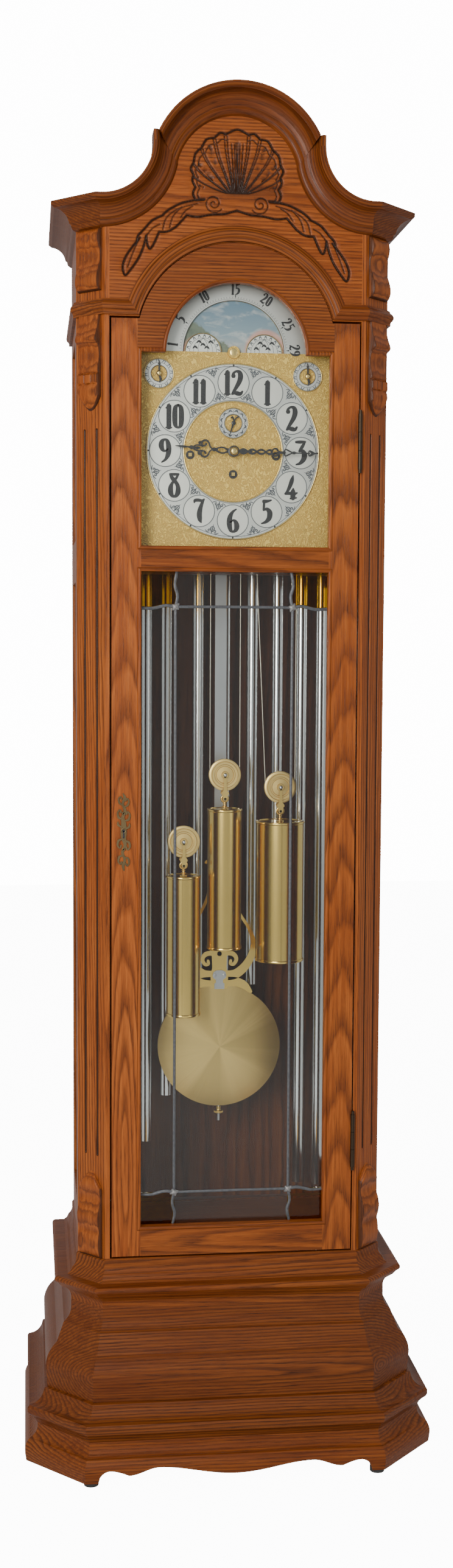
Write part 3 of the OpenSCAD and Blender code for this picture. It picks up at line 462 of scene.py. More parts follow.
class Shape:
    """Closed flat, turned and swept solids gathered into one mesh. Millimetres."""

    def __init__(self, pen=1.0):
        self.verts, self.faces, self.smooth = [], [], []
        self.pen = pen

    def push(self, verts, faces, smooth=False):
        start = len(self.verts)
        self.verts += [tuple(v) for v in verts]
        self.faces += [tuple(start + i for i in f) for f in faces]
        self.smooth += [smooth] * len(faces)

    def tube(self, rings, closed=False, smooth=True):
        """Joins rings of equally many points, each a closed loop, and caps the ends."""
        count, size = len(rings), len(rings[0])
        faces = []
        for i in range(count if closed else count - 1):
            j = (i + 1) % count
            for k in range(size):
                m = (k + 1) % size
                faces.append((i * size + k, i * size + m, j * size + m, j * size + k))
        if not closed:
            faces.append(tuple(range(size))[::-1])
            faces.append(tuple((count - 1) * size + k for k in range(size)))
        self.push([p for ring in rings for p in ring], faces, smooth)

    def stroke(self, points, y0, y1, place=None, per=5, cap=True):
        """A flat brush stroke in the XZ plane from y0 to y1; points are (x, z, half width)."""
        p = curve(points, per)
        if cap:
            p = round_ends(p)
        ahead = unit(np.gradient(p[:, :2], axis=0))
        side = np.stack([-ahead[:, 1], ahead[:, 0]], 1) * p[:, 2:3] * self.pen
        a, b = p[:, :2] + side, p[:, :2] - side
        if place:
            a, b = place(a), place(b)
        self.tube([[(q[0], y0, q[1]), (r[0], y0, r[1]), (r[0], y1, r[1]), (q[0], y1, q[1])] for q, r in zip(a, b)],
                  smooth=False)

    def turned(self, x, y, z, outline, axis="y", steps=40):
        """A solid of revolution; outline is (radius, place along the axis), from one end to the other."""
        angles = [2 * math.pi * k / steps for k in range(steps)]
        rings = []
        for r, h in outline:
            r = max(r, MM)
            if axis == "y":
                rings.append([(x + r * math.cos(a), y + h, z + r * math.sin(a)) for a in angles[::-1]])
            else:
                rings.append([(x + r * math.cos(a), y + r * math.sin(a), z + h) for a in angles])
        self.tube(rings)

    def swept(self, x, z, section, a0=0, a1=360, steps=72, smooth=False):
        """A section of (radius, y) carried round x, z, all the way or from a0 to a1 degrees."""
        whole = a1 - a0 >= 360
        rings = []
        for k in range(steps if whole else steps + 1):
            a = math.radians(a0 + (a1 - a0) * k / steps)
            rings.append([(x + r * math.cos(a), y, z + r * math.sin(a)) for r, y in section])
        self.tube(rings, whole, smooth)

    def loop(self, x, z, r0, r1, y0, y1, a0=0, a1=360, steps=72):
        """A flat ring or part of one, between radii r0 and r1 and depths y0 and y1."""
        self.swept(x, z, ((r0, y0), (r1, y0), (r1, y1), (r0, y1)), a0, a1, steps)

    def wire(self, points, radius, per=4, sides=8, closed=False):
        """A round bar along a curve in space; radius may vary from point to point."""
        p = curve([(*q, radius) if len(q) == 3 else q for q in points], per, closed)
        rings, lead = [], None
        for q, t in zip(p, unit(np.gradient(p[:, :3], axis=0))):
            if lead is None:
                lead = np.cross(t, (0.0, 1.0, 0.0) if abs(t[1]) < 0.9 else (1.0, 0.0, 0.0))
            lead = unit(lead - t * float(np.dot(lead, t)))
            other = np.cross(t, lead)
            rings.append([q[:3] + q[3] * (lead * math.cos(a) + other * math.sin(a))
                          for a in np.linspace(0, 2 * math.pi, sides, endpoint=False)])
        self.tube(rings, closed)

    def plate(self, outline, y0, y1):
        """A flat plate with a filled outline of (x, z) points, from y0 to y1."""
        n = len(outline)
        faces = [tuple(range(n)), tuple(range(2 * n - 1, n - 1, -1))]
        faces += [(i, i + n, (i + 1) % n + n, (i + 1) % n) for i in range(n)]
        self.push([(x, y, z) for y in (y0, y1) for x, z in outline], faces)

    def piece(self, name, finish, body, slot, replaced=(), carve=None):
        mesh = bpy.data.meshes.new(name)
        mesh.from_pydata([(x * MM, y * MM, z * MM) for x, y, z in self.verts], [], self.faces)
        mesh.polygons.foreach_set("use_smooth", self.smooth)
        # The painted shade of carved pieces goes into an attribute of the mesh.
        if carve:
            mesh.attributes.new("carve", "FLOAT", "POINT").data.foreach_set("value", np.asarray(carve, np.float32))
        mesh.validate()
        bm = bmesh.new()
        bm.from_mesh(mesh)
        bmesh.ops.recalc_face_normals(bm, faces=bm.faces)
        bm.to_mesh(mesh)
        bm.free()
        return put(name, mesh, finish, body, replaced, 38 if any(self.smooth) else None)


# ---- dial ------------------------------------------------------------------

# Each numeral is drawn with a broad pen, as strokes of (x, z, half width), 39 units high.
BOWL = [(14.5, 38, .8), (8.5, 33.5, 1.6), (4.2, 25, 2.7), (3.2, 14, 2.9), (5.4, 4.2, 2.2), (9.6, 1.4, 1.3),
        (14.2, 4.6, 2.4), (15.6, 11, 2.9), (13.4, 17.6, 2.2), (9.4, 20, 1.2), (5, 17, 1.0)]
DIGITS = {
    "0": (16.5, [[(8.2, 37.8, 1.2), (3.6, 33, 2.5), (2.8, 19.5, 2.9), (3.6, 6, 2.5), (8.2, 1.2, 1.2),
                  (12.8, 6, 2.5), (13.7, 19.5, 2.9), (12.8, 33, 2.5), (8.2, 37.8, 1.2)]]),
    "1": (10, [[(5.6, 38.6, 1.0), (5.4, 36, 2.6), (5.2, 20, 2.7), (5.2, 1.5, 2.7)],
               [(5, 37, 1.6), (2.5, 33.5, 1.3), (.6, 32.6, .8)], [(.5, .8, .8), (5, 1.2, 1.2), (9.7, .8, .8)]]),
    "2": (18.5, [[(2.9, 30.4, 2.5), (3.2, 34.8, 1.5), (8, 38, 1.3), (13, 36, 2.4), (14.6, 29.5, 2.9), (12.5, 21, 2.6),
                  (7, 11, 2.0), (2, 3, 1.4)],
                 [(1, 1.2, 1.2), (5, 3.2, 2.0), (10, 2.2, 2.5), (14.5, 1.8, 2.0), (17.8, 5.4, 1.1)]]),
    "3": (17, [[(1, 37.2, 1.4), (8, 37.4, 1.8), (16, 37.9, 1.2)],
               [(15.4, 37.2, 1.2), (11, 29.5, 1.9), (6.4, 22.5, 1.3)],
               [(6.4, 22.5, 1.2), (11.5, 23, 2.0), (14.8, 17.5, 3.0), (13.6, 9.5, 2.8), (8, 3, 1.8), (1.2, .4, .8)]]),
    "4": (21, [[(13.5, 38.6, .7), (11.5, 31, 2.3), (8.5, 22, 2.2), (4.2, 13, 1.6), (.8, 9, 1.0)],
               [(.8, 8.8, 1.4), (8, 9.4, 1.8), (15, 8.6, 1.8), (20.2, 10.2, .9)],
               [(13.8, 17, 1.0), (13.4, 12, 2.6), (13.2, 3, 2.8), (13.4, 1.2, 2.2)],
               [(9, .8, .9), (13, 1.0, 1.2), (19, 2.2, .9)]]),
    "5": (18, [[(4.6, 36.4, 2.2), (10, 37, 1.7), (16.5, 38.6, .9)], [(5.0, 37, 1.2), (4.6, 30, 1.4), (4.2, 22.6, 1.3)],
               [(4.2, 22.4, 1.1), (9.5, 24, 1.9), (14.3, 18.5, 3.0), (13.4, 9.5, 2.8), (8, 3.2, 1.8), (.8, .4, .8)]]),
    "6": (18, [BOWL]),
    "7": (18, [[(1.2, 33.4, .9), (2.4, 36.6, 1.8), (8, 37.2, 1.8), (14, 36.2, 1.6), (17.2, 38.6, 1.0)],
               [(16.2, 37.6, 1.3), (12.4, 28, 2.1), (9.6, 16, 2.9), (10.4, 6, 2.5), (12.6, .8, .8)]]),
    "8": (18, [[(2, 37.8, 1.2), (9, 37.4, 1.6), (16, 37.8, 1.2)],
               [(2.6, 37, 1.4), (6, 31, 2.3), (12, 24, 2.1), (15, 17.5, 2.4), (15.2, 9, 2.9), (12.4, 3.2, 2.2),
                (9, 1.3, 1.4)],
               [(15.4, 37, 1.1), (12, 31, 1.5), (6, 23.6, 1.6), (3.2, 16.5, 2.6), (3, 9, 2.9), (5.4, 3.2, 2.2),
                (9, 1.3, 1.4)]]),
    "9": (18, [[(18 - x, 39 - z, w) for x, z, w in BOWL]]),
}


RING_Y = PLATE_Y - 1.2
INK_Y0, INK_Y1 = RING_Y - 0.38, RING_Y + 0.2
cartouches, maps, rims, engraving, inks = Shape(), Shape(), Shape(), Shape(1.6), Shape()


def numeral(text, x, z, height, angle=0.0, gap=2.2, bold=1.5):
    """Inks a number centred on x, z, with its top turned clockwise by angle."""
    k = height / 39
    along = -(sum(DIGITS[c][0] for c in text) + gap * (len(text) - 1)) / 2
    for c in text:
        wide, strokes = DIGITS[c]
        for n, line in enumerate(strokes):
            inks.stroke([((along + px) * k, (pz - 19.5) * k, w * k * bold) for px, pz, w in line],
                        INK_Y0 - 0.01 * n, INK_Y1, placed(x, z, angle))
        along += wide + gap


def engrave(points, depth=0.24, place=None, per=4):
    engraving.stroke(points, RING_Y - depth, RING_Y + 0.1, place, per)


def circle(x, z, r, half=0.4, depth=0.28, a1=360, steps=48):
    engraving.loop(x, z, r - half, r + half, RING_Y - depth, RING_Y + 0.1, 0, a1, steps)


def ray(x, z, r0, r1, at, w0, w1, lean=0):
    """A straight stroke out from x, z, its far end lean degrees further on."""
    return [(*polar(r0, at, x, z), w0), (*polar(r1, at + lean, x, z), w1)]


def mark(points):
    inks.stroke(points, INK_Y0 + 0.1, INK_Y1, per=1, cap=False)


def rim(x, z, r, half, a0=0, a1=360, steps=120):
    """A thin gilt bead along the edge of a ring."""
    section = [(r + half * math.cos(t), RING_Y - 0.9 * math.sin(t)) for t in np.linspace(0, math.pi, 7)]
    rims.swept(x, z, section, a0, a1, steps, smooth=True)


# Cartouches stand a hair proud of the chapter ring, each in a thin line, with sprigs between them.
SPRIG = ([(0, 6, .25), (2.2, 2.5, .5), (5.2, 1.2, .6), (6.6, 3.4, .5), (4.8, 4.6, .45), (3.8, 3.2, .3)],
         [(0.3, -5, .25), (2.4, -3, .5), (3.2, -.6, .6), (1.8, .6, .4)],
         [(5, 6.5, .3), (8.5, 5.8, .45), (11.5, 3.8, .3)])
for hour in range(1, 13):
    cx, cz = polar(113.5, 30 * hour, 0, DIAL_Z)
    cartouches.turned(cx, RING_Y, cz, [(0, -0.22), (25.2, -0.22), (25.6, 0.2), (0, 0.2)], steps=56)
    circle(cx, cz, 26.2, 0.5, 0.3, steps=56)
    numeral(str(hour), cx, cz, 39.5)
    between = 30 * hour + 15
    for reach, turn in ((132.5, 0), (93.5, 180)):
        at = (*polar(reach, between, 0, DIAL_Z), between + turn)
        for flip in (False, True):
            for line in SPRIG:
                engrave(line, 0.25, placed(*at, flip))
        engrave([(0, 7.5, .4), (0, 0, .6), (0, -8, .2)], 0.22, placed(*at), 3)
for minute in range(60):
    r = 0.45 if minute % 5 else 1.6
    bx, bz = polar(141.8, 6 * minute, 0, DIAL_Z)
    inks.turned(bx, RING_Y, bz, [(0, -0.3), (r, -0.3), (r, 0.1), (0, 0.1)], steps=10)
    mark(ray(0, SEC_Z, *((21.8, 23.4) if minute % 5 else (16.8, 22.6)), 6 * minute, .3, .3))
for radius in (84.8, 140.0, 143.6):
    circle(0, DIAL_Z, radius, steps=120)

# Seconds ring with engraved leaves, two selector rings and the lunar scale.
for radius in (15.0, 24.3):
    inks.loop(0, SEC_Z, radius - 0.4, radius + 0.4, INK_Y0, INK_Y1, steps=48)
for k in range(12):
    engrave([(-3.6, -1.2, .3), (0, 1.6, .9), (3.6, -1.2, .3)],
            place=placed(*polar(19.6, 30 * k + 15, 0, SEC_Z), 30 * k + 15))
for sx in (-SEL_X, SEL_X):
    for radius, wide in ((13.6, .4), (18.0, .3), (23.4, .5)):
        circle(sx, SEL_Z, radius, wide)
    for k in range(24):
        engrave(ray(sx, SEL_Z, 18.6, 22.6, 15 * k, .2, .5, 6 if k % 2 else -3), per=1)
for day in (1, 5, 10, 15, 20, 25, 29):
    lean = -90 + 180 * day / 29.5
    numeral(str(day), *polar(102.5, lean, 0, MOON_Z), 17.2, lean, 4, 1.45)
for half in range(1, 59):
    long = half % 10 == 0 or half == 58
    mark(ray(0, MOON_Z, 88.0, 93.0 if long else 90.5, -90 + 180 * half / 59, .25, 1.1 if long else .25))
for inner, outer in ((83.8, 84.6), (86.8, 87.1)):
    inks.loop(0, MOON_Z, inner, outer, INK_Y0, INK_Y1, 0, 180, 60)

# Two half-round maps on the dial plate's humps, with meridians, birds and a ring of ticks.
for mx in (-MAP_X, MAP_X):
    maps.loop(mx, MOON_Z, 0.2, MAP_R - 0.2, RING_Y, PLATE_Y + 0.2, 0, 180, 40)
    inks.loop(mx, MOON_Z, MAP_R - 1.2, MAP_R - 0.3, INK_Y0, INK_Y1, 0, 180, 40)
    circle(mx, MOON_Z, 22.5, 0.3, a1=180, steps=36)
    for k in range(1, 18):
        engrave(ray(mx, MOON_Z, 23.5, 27.5, -90 + 10 * k, .2, .55, 4 if k % 2 else -4), per=1)
    for wide in (8, 16, -8, -16):
        meridian = [(mx + wide, MOON_Z + 0.6, .2), (mx + wide * 0.8, MOON_Z + 13, .2), (mx, MOON_Z + 22.2, .2)]
        engrave(meridian, 0.2, per=5)
    for k in range(5):
        bird = placed(mx - 13 + 6.5 * k, MOON_Z + 6 + 4.5 * (2 * k % 3))
        inks.stroke([(-4, -1, .6), (-1, 2, 1.7), (2, .6, 1.5), (3.8, -1.8, .4)], RING_Y - 0.2, RING_Y + 0.1, bird, 4)

rim(0, DIAL_Z, 144.4, 1.2)
rim(0, DIAL_Z, 82.6, 1.2)
rim(0, SEC_Z, 25.2, 0.8, steps=60)
rim(0, SEC_Z, 13.8, 0.6, steps=48)
for side in (-1, 1):
    rim(side * SEL_X, SEL_Z, 24.3, 0.9, steps=60)
    rim(side * SEL_X, SEL_Z, 12.8, 0.5, steps=48)
    rim(side * MAP_X, MOON_Z, MAP_R, 0.6, 2, 178, 48)
rim(0, MOON_Z, 126.2, 0.8, 2, 178)
rims.turned(0, PLATE_Y, MOON_Z, [(0, -4.6), (4, -4.5), (7.8, -3.6), (9.4, -2.2), (9.8, -0.8), (10.4, 0)])
# Black rings round the three winding arbors: painted shade for the winding holes.
for wx, wz in ((-WIND_X, WIND_Z), (WIND_X, WIND_Z), (0, WIND_LOW_Z)):
    inks.loop(wx, wz, 3.2, 7.2, PLATE_Y - 1.2, PLATE_Y + 0.2, steps=32)

cartouches.piece("hour_cartouches", SILVER_PALE, "case", "silvered")
engraving.piece("dial_engraving", ENGRAVED, "case", "silvered")
inks.piece("dial_numerals", INK, "case", "black_steel")
maps.piece("hemisphere_maps", SILVER_PALE, "case", "silvered")
rims.piece("dial_rims", GILT, "case", "brass")

# ---- hands -----------------------------------------------------------------


def hand(name, x, z, angle, y0, thick, strokes, hub, arbor, nut=None):
    """A pierced hand drawn pointing up and turned; strokes are (points, mirrored too), hub a radius,
    arbor a radius and length, nut a radius and height."""
    shape = Shape(1.25)
    for n, (points, both) in enumerate(strokes):
        for flip in (False, True)[:1 + both]:
            lift = 0.02 * (2 * n + flip)
            shape.stroke(points, y0 + lift, y0 + thick + lift, placed(x, z, angle, flip))
    shape.turned(x, y0, z, [(0, -0.6), (hub * 0.75, -0.6), (hub, 0), (hub, thick + 0.4), (0, thick + 0.4)], steps=36)
    r, deep_to = arbor
    shape.turned(x, y0, z, [(0, thick), (r, thick), (r, deep_to), (0, deep_to)], steps=24)
    shape.piece(name + "_shape", BLACK, name, "black_steel", (name,))
    if nut:
        r, h = nut
        cap = Shape()
        cap.turned(x, y0, z, [(0, -h), (r * 0.45, -h), (r * 0.8, -h * 0.8), (r, -h * 0.4), (r * 1.05, -0.4), (0, -0.2)],
                   steps=36)
        cap.piece(name + "_nut", GILT, name, "brass")


hand("hour_hand", 0, DIAL_Z, -85.4, -86.0, 1.2, [
    ([(0, 6, 3.2), (2.4, 12, 1.3), (4.6, 18, 1.1), (3.6, 25, 1.0), (0.8, 30, 1.3)], True),
    ([(0, 28, 1.6), (0, 33, 2.6), (0, 37, 1.2)], False),
    ([(0.4, 36, 1.0), (4, 40, 1.0), (9.6, 42, 1.1), (13.6, 47, 1.4), (11.6, 53, 1.3), (6.2, 54, 1.0), (4.2, 49.5, 1.0),
      (7.6, 46.6, 1.5)], True),
    ([(10.6, 53.5, 1.0), (9, 58, 1.8), (6.4, 57, 0.9)], True),
    ([(3.2, 52, 1.0), (4.8, 58, 1.1), (3.8, 64, 1.0), (0.6, 67.5, 1.1)], True),
    ([(0, 57, 0.8), (0, 61, 1.9), (0, 66, 1.4), (0, 71, 2.7), (0, 76, 1.0), (0, 84, 1.5), (0, 97.5, 0.4)], False),
], 9.2, (7, 16))
TURN, TURNS_END = math.pi / 15, 56
TWIST = [(3.4 * math.sin(TURN * u) * (1 if u < TURNS_END else 0.6), 8 + u, 1.0 + 0.5 * abs(math.sin(TURN * u)))
         for u in range(0, 60, 4)]
hand("minute_hand", 0, DIAL_Z, 90.8, -91.0, 1.2, [
    (TWIST, True),
    ([(0, 6, 2.6), (0, 14, 1.6), (0, 23, 1.7), (0, 30, 1.0)], False),
    ([(0.4, 62, 1.0), (5.2, 66, 1.0), (5.6, 71, 1.3), (2.4, 74, 1.0), (0.3, 80, 0.9)], True),
    ([(0, 72, .9), (0, 78, 1.8), (0, 86, 1.0)], False),
    ([(0.4, 84, .9), (5.4, 86, 0.8), (3.0, 92, 1.0), (0.6, 97, .8)], True),
    ([(0, 96, .9), (0, 101, 2.0), (0, 105, .8), (0, 118, 1.0), (0, 127, .7)], False),
    ([(0.2, 125, .8), (4.2, 126.5, .9), (1.6, 131, 1.6), (0.1, 137.5, .3)], True),
], 9.2, (4.7, 26), (6.8, 3.8))
hand("second_hand", 0, SEC_Z, 198, -80.0, 0.8, [
    ([(0, -4, 1.2), (0, 4, 1.3), (0, 12, 0.8), (0, 21.5, 0.35)], False),
    ([(0, -3, 1.0), (2.6, -7, 1.0), (5.0, -9, 1.1), (6.4, -6.8, .7)], False),
    ([(0, -3, .8), (-1.6, -9, .8), (-4.2, -12.5, .9)], False),
], 3.6, (1, 20))
for name, sx in (("silence_selector", -SEL_X), ("chime_selector", SEL_X)):
    hand(name, sx, SEL_Z, 0, -81.2, 0.9, [
        ([(0, 3, 1.0), (0, 10, 1.1), (0, 16, .9), (0, 21, .4)], False),
        ([(0, -3, 1.3), (1.6, -7, 1.5), (2.0, -10.5, 1.4), (0.6, -15, .5)], False),
        ([(0, 14.5, .9), (1.6, 15.8, .7)], True),
    ], 2.8, (2, 11), (4.6, 3.0))

# ---- carved fascia ---------------------------------------------------------

def lobe(a, peak, b):
    return curve([a, peak, b], 8)


# The shell fans out from FOCUS; its right half is drawn, as (X, height), and mirrored.
FOCUS = (0, 2121)
CUSPS = [(19, 2220), (37, 2214), (58, 2198), (71, 2174), (71, 2154), (68, 2135), (68, 2114)]
PEAKS = [(28, 2222), (50, 2211), (68, 2188), (75.5, 2164), (73, 2145), (72, 2125)]
UPPER_LEAF = [(53, 2116), (66, 2115), (90, 2109), (111, 2098), (122, 2088)]
SPRAY_TOP = [(122, 2088), (138, 2080), (151, 2066), (161, 2055), (163, 2047)]
END_LEAF = [(158, 2052), (171, 2036), (181, 2021), (186, 2005), (182, 1992), (173, 2001), (160, 2020), (152, 2039),
            (148, 2055)]
SPRAY_LOW = [(148, 2055), (146, 2042), (142, 2035), (136, 2042), (127, 2062)]
SPRAY_MID = [(127, 2062), (114, 2063), (101, 2070), (91, 2080), (82, 2090)]
SPRAY_IN = [(82, 2090), (64, 2088), (42, 2092), (20, 2094), (0, 2100)]
# Wells between the ribs, each from its wide end to its tight one, with its half width.
HOLLOWS = (((44, 2198), (31, 2160), 3.6), ((62, 2171), (40, 2146), 3.2), ((61, 2138), (45, 2131), 2.2),
           ((0, 2206), (0, 2160), 4.4))
# Depth and half width of the deep cuts and of the fine ones.
DEEP, DEEP_HALF = 2.6, 2.5
FINE, FINE_HALF = 1.8, 1.8
deep, fine_cuts = [], []
deep.append(lobe((-19, 2220), (0, 2228), (19, 2220)))
for a, peak, b in zip(CUSPS, PEAKS, CUSPS[1:]):
    deep.append(lobe(a, peak, b))
    inner = [tuple(FOCUS[i] + (q[i] - FOCUS[i]) * 0.90 for i in (0, 1)) for q in (a, peak, b)]
    fine_cuts.append(lobe(*inner))
deep.append([(68, 2114), (54, 2115)])
for x, z in CUSPS[:5]:
    for lean in (-1, 1):
        ex, ez = x + lean * 2.2 * (z - 2100) / 110, z - 3
        foot = 4 + 16 * min(1, abs(math.atan2(x, z - FOCUS[1])) / 1.4)
        rise = ez - FOCUS[1]
        fine_cuts.append(curve([(ex, ez), (ex * 0.80 + 1.5, FOCUS[1] + rise * 0.72),
                                (ex * 0.45 + 2, FOCUS[1] + rise * 0.36), (foot + lean * 0.8, 2127)], 5))
for x in (0, 4.5, 9.5):
    fine_cuts.append([(x, 2205 if x else 2190), (x * 0.45, 2127)])
winding = np.linspace(0, 1, 34)
bend, reach = np.radians(-35 - 640 * winding), 15.5 * (1 - winding * 0.88)
fine_cuts.append(np.stack([38 - reach * np.cos(bend), 2110 + reach * np.sin(bend)], 1))
for line in (UPPER_LEAF, SPRAY_TOP, END_LEAF, SPRAY_LOW, SPRAY_MID, SPRAY_IN):
    deep.append(curve(line, 5))
fine_cuts += [curve(q, 5) for q in (
    [(64, 2109), (95, 2100), (115, 2085), (121, 2066)], [(148, 2055), (137, 2068), (126, 2074)],
    [(160, 2049), (169, 2029), (178, 2005)], [(90, 2103), (104, 2088), (110, 2070)],
    [(72, 2105), (84, 2097), (92, 2086)])]


def nearest(points, lines):
    """Distance from each point to the nearest of the lines and their mirror images."""
    best = np.full(len(points), 1e9)
    for line in lines:
        line = np.asarray(line, float)[:, :2]
        for sign in (1, -1):
            p = line * (sign, 1)
            for a, b in zip(p[:-1], p[1:]):
                d = b - a
                t = np.clip(((points - a) @ d) / max(d @ d, 1e-9), 0, 1)
                best = np.minimum(best, np.hypot(*(points - a - t[:, None] * d).T))
    return best


def fascia_cut(points):
    """Depth of the carving below the fascia at points, in millimetres, and how dark the painted shade lies there."""
    far = nearest(points, deep)
    near = nearest(points, fine_cuts)
    cut = np.clip(DEEP * (1 - far / DEEP_HALF), 0, None)
    cut = np.maximum(cut, np.clip(FINE * (1 - near / FINE_HALF), 0, None))
    cut += 0.5 * np.exp(-(far / 5.0) ** 2) + 0.22 * np.exp(-(near / 3.0) ** 2)
    # Painted shade: darkest in the deep cuts, less in the fine ones, spread round the shell's focus and filling the
    # wells between the ribs.
    painted_shade = np.clip(1.45 - far / 2.1, 0, 1) + 0.9 * np.clip(1.2 - near / 1.5, 0, 1)
    fan = np.hypot(points[:, 0], points[:, 1] - FOCUS[1])
    painted_shade += np.where(points[:, 1] > FOCUS[1] - 4, 0.55 * np.exp(-(fan / 44) ** 2), 0)
    for wide, tight, lip in HOLLOWS:
        for sign in (1, -1):
            a, b = np.array(wide) * (sign, 1.0), np.array(tight) * (sign, 1.0)
            d = b - a
            t = ((points - a) @ d) / (d @ d)
            off = np.hypot(*(points - a - np.clip(t, 0, 1)[:, None] * d).T)
            reach = lip * (1 - 0.75 * np.clip(t, 0, 1))
            well = np.clip(1 - off / np.maximum(reach, 0.3), 0, 1)
            cut = np.maximum(cut, 2.4 * np.sqrt(well))
            painted_shade += (0.35 if lip > 4 else 0.8) * np.clip(well * 2.2, 0, 1)
    return cut, np.clip(painted_shade, 0, 1)


# The fascia's edges: the hood's arch, the pediment's and the hollows at its ends, as (X, height) and radius.
HOOD_Z, HOOD_R = 1884, 164.7
PEDIMENT_Z, PEDIMENT_R = 2149, 141
HOLLOW_X, HOLLOW_Z, HOLLOW_R = 223, 2196, 88
EAR_X, FOOT_X, FOOT_Z = 128, 207.5, 1927
# The mesh's step where it is carved, every how many steps elsewhere, how near a cut, and above what height.
FINE_STEP, COARSE, NEAR_CUT, CARVED_Z = 1.05, 6, 3.6, 1985


def fascia():
    """The hood's front board as one closed mesh, finely divided where it is carved."""
    hollow = math.degrees(math.acos((HOLLOW_X - FOOT_X) / HOLLOW_R))
    crown = math.degrees(math.acos(EAR_X / PEDIMENT_R))
    hood = math.degrees(math.asin((FOOT_Z - HOOD_Z) / HOOD_R))
    outline = [(FOOT_X, FOOT_Z)] + arc_points(HOLLOW_X, HOLLOW_Z, HOLLOW_R, 180 + hollow, 180, 24) + [(EAR_X, HOLLOW_Z)]
    outline += arc_points(0, PEDIMENT_Z, PEDIMENT_R, crown, 180 - crown, 60) + [(-EAR_X, HOLLOW_Z)]
    outline += arc_points(-HOLLOW_X, HOLLOW_Z, HOLLOW_R, 0, -hollow, 24) + [(-FOOT_X, FOOT_Z)]
    outline += arc_points(0, HOOD_Z, HOOD_R, 180 - hood, hood, 80)
    count = len(outline)
    xs, zs = np.meshgrid(np.arange(-206, 207, FINE_STEP), np.arange(1928, 2290, FINE_STEP))
    grid = np.stack([xs.ravel(), zs.ravel()], 1)
    rows, columns = np.indices(xs.shape)
    coarse = ((rows % COARSE == 0) & (columns % COARSE == 0)).ravel()
    x, z = abs(grid[:, 0]), grid[:, 1]
    clear = 0.9
    inside = (np.hypot(x, z - HOOD_Z) > HOOD_R + clear) & (np.hypot(x - HOLLOW_X, z - HOLLOW_Z) > HOLLOW_R + clear)
    inside &= (x < FOOT_X - clear) & ((z < HOLLOW_Z - 0.8) | (
        (x < EAR_X - 0.8) & (np.hypot(x, z - PEDIMENT_Z) < PEDIMENT_R - clear)))
    grid, coarse = grid[inside], coarse[inside]
    carved = grid[:, 1] > CARVED_Z
    close = np.zeros(len(grid), bool)
    close[carved] = nearest(grid[carved], deep + fine_cuts) < NEAR_CUT
    points = [Vector(p) for p in outline] + [Vector(p) for p in grid[close | coarse]]
    made = delaunay_2d_cdt(points, [(i, (i + 1) % count) for i in range(count)], [list(range(count))], 1, 1e-5)
    flat = np.array([(v.x, v.y) for v in made[0]])
    cut, painted_shade = fascia_cut(flat)
    bm = bmesh.new()
    shade = bm.verts.layers.float.new("carve")
    # Each vertex keeps the painted shade of the carving in an attribute of the mesh.
    for (x, z), depth, dark in zip(flat, cut, painted_shade):
        v = bm.verts.new((x * MM, (FRONT_Y + depth) * MM, z * MM))
        v[shade] = dark
    bm.verts.ensure_lookup_table()
    for face in made[2]:
        bm.faces.new([bm.verts[i] for i in face])
    for v in bmesh.ops.extrude_edge_only(bm, edges=[e for e in bm.edges if e.is_boundary])["geom"]:
        if isinstance(v, bmesh.types.BMVert):
            v.co.y, v[shade] = (FRONT_Y + 20) * MM, 0
    bmesh.ops.triangle_fill(bm, use_beauty=True, edges=[e for e in bm.edges if e.is_boundary])
    bmesh.ops.recalc_face_normals(bm, faces=bm.faces)
    mesh = bpy.data.meshes.new("carved_fascia")
    bm.to_mesh(mesh)
    bm.free()
    mesh.polygons.foreach_set("use_smooth", [True] * len(mesh.polygons))
    put("carved_fascia", mesh, OAK_FASCIA, "case", ("fascia_board",), 50)


fascia()

# ---- carved blocks on the canted corners -----------------------------------

CANT_MID_X, CANT_MID_Y = (FRONT_HALF + SIDE_X) / 2, (FRONT_Y + CANT_Y) / 2
ACROSS, DOWN = 34, 110
blocks, block_shades = Shape(), []


def on_cant(side, across, out, z):
    """A place on a canted corner, from the middle of its face."""
    return side * (CANT_MID_X + (across + out) / math.sqrt(2)), CANT_MID_Y + (across - out) / math.sqrt(2), z


def block(top, profile, half, low_edge=None, high_edge=None, grooves=()):
    """A moulded block on both canted corners. profile is (how far below the top, out); its foot rises by
    low_edge(s) and its top sinks by high_edge(s) at place s from -1 to 1 across it."""
    heights, outs = curve([(top - fall, out) for fall, out in profile], 8)[::-1].T
    foot = top - profile[-1][0]

    def out_at(z):
        return float(np.interp(z, heights, outs))

    for side in (1, -1):
        rings = []
        for i in range(ACROSS + 1):
            s = -1 + 2 * i / ACROSS
            lift = low_edge(s) if low_edge else 0.0
            drop = high_edge(s) if high_edge else 0.0
            ring = []
            for j in range(DOWN + 1):
                t = j / DOWN
                z = top - drop - t * (top - drop - foot - lift)
                edge = max(0.0, abs(s) - 0.90) / 0.10
                end = max(0.0, t - 0.955) / 0.045 if lift else 0.0
                if drop:
                    end = max(end, (0.05 - t) / 0.05)
                out = out_at(z)
                out -= min(out, 2.2) * (1 - math.sqrt(max(0.0, 1 - edge ** 2)))
                out *= math.sqrt(max(0.0, 1 - end ** 2))
                slope = abs(out_at(z - 1.5) - out_at(z + 1.5)) / 3
                # Painted shade: the profile's steep falls, the foot's undercut, the edge towards the door and the
                # grooves are darkened.
                tint = max(0.0, min(0.8, 0.55 * (slope - 0.9)), 0.85 * (t > 0.975), 0.75 * (s < -0.93))
                for g0, g1, at in grooves:
                    if g0 < top - z < g1 and abs(s - at) < 0.035:
                        out -= 1.0
                        tint = max(tint, 0.75)
                ring.append(on_cant(side, s * half, out, z))
                block_shades.append(tint)
            rings.append(ring + [on_cant(side, s * half, -1.0, z) for z in (foot + lift, top - drop)])
            block_shades.extend((0, 0))
        blocks.tube(rings)


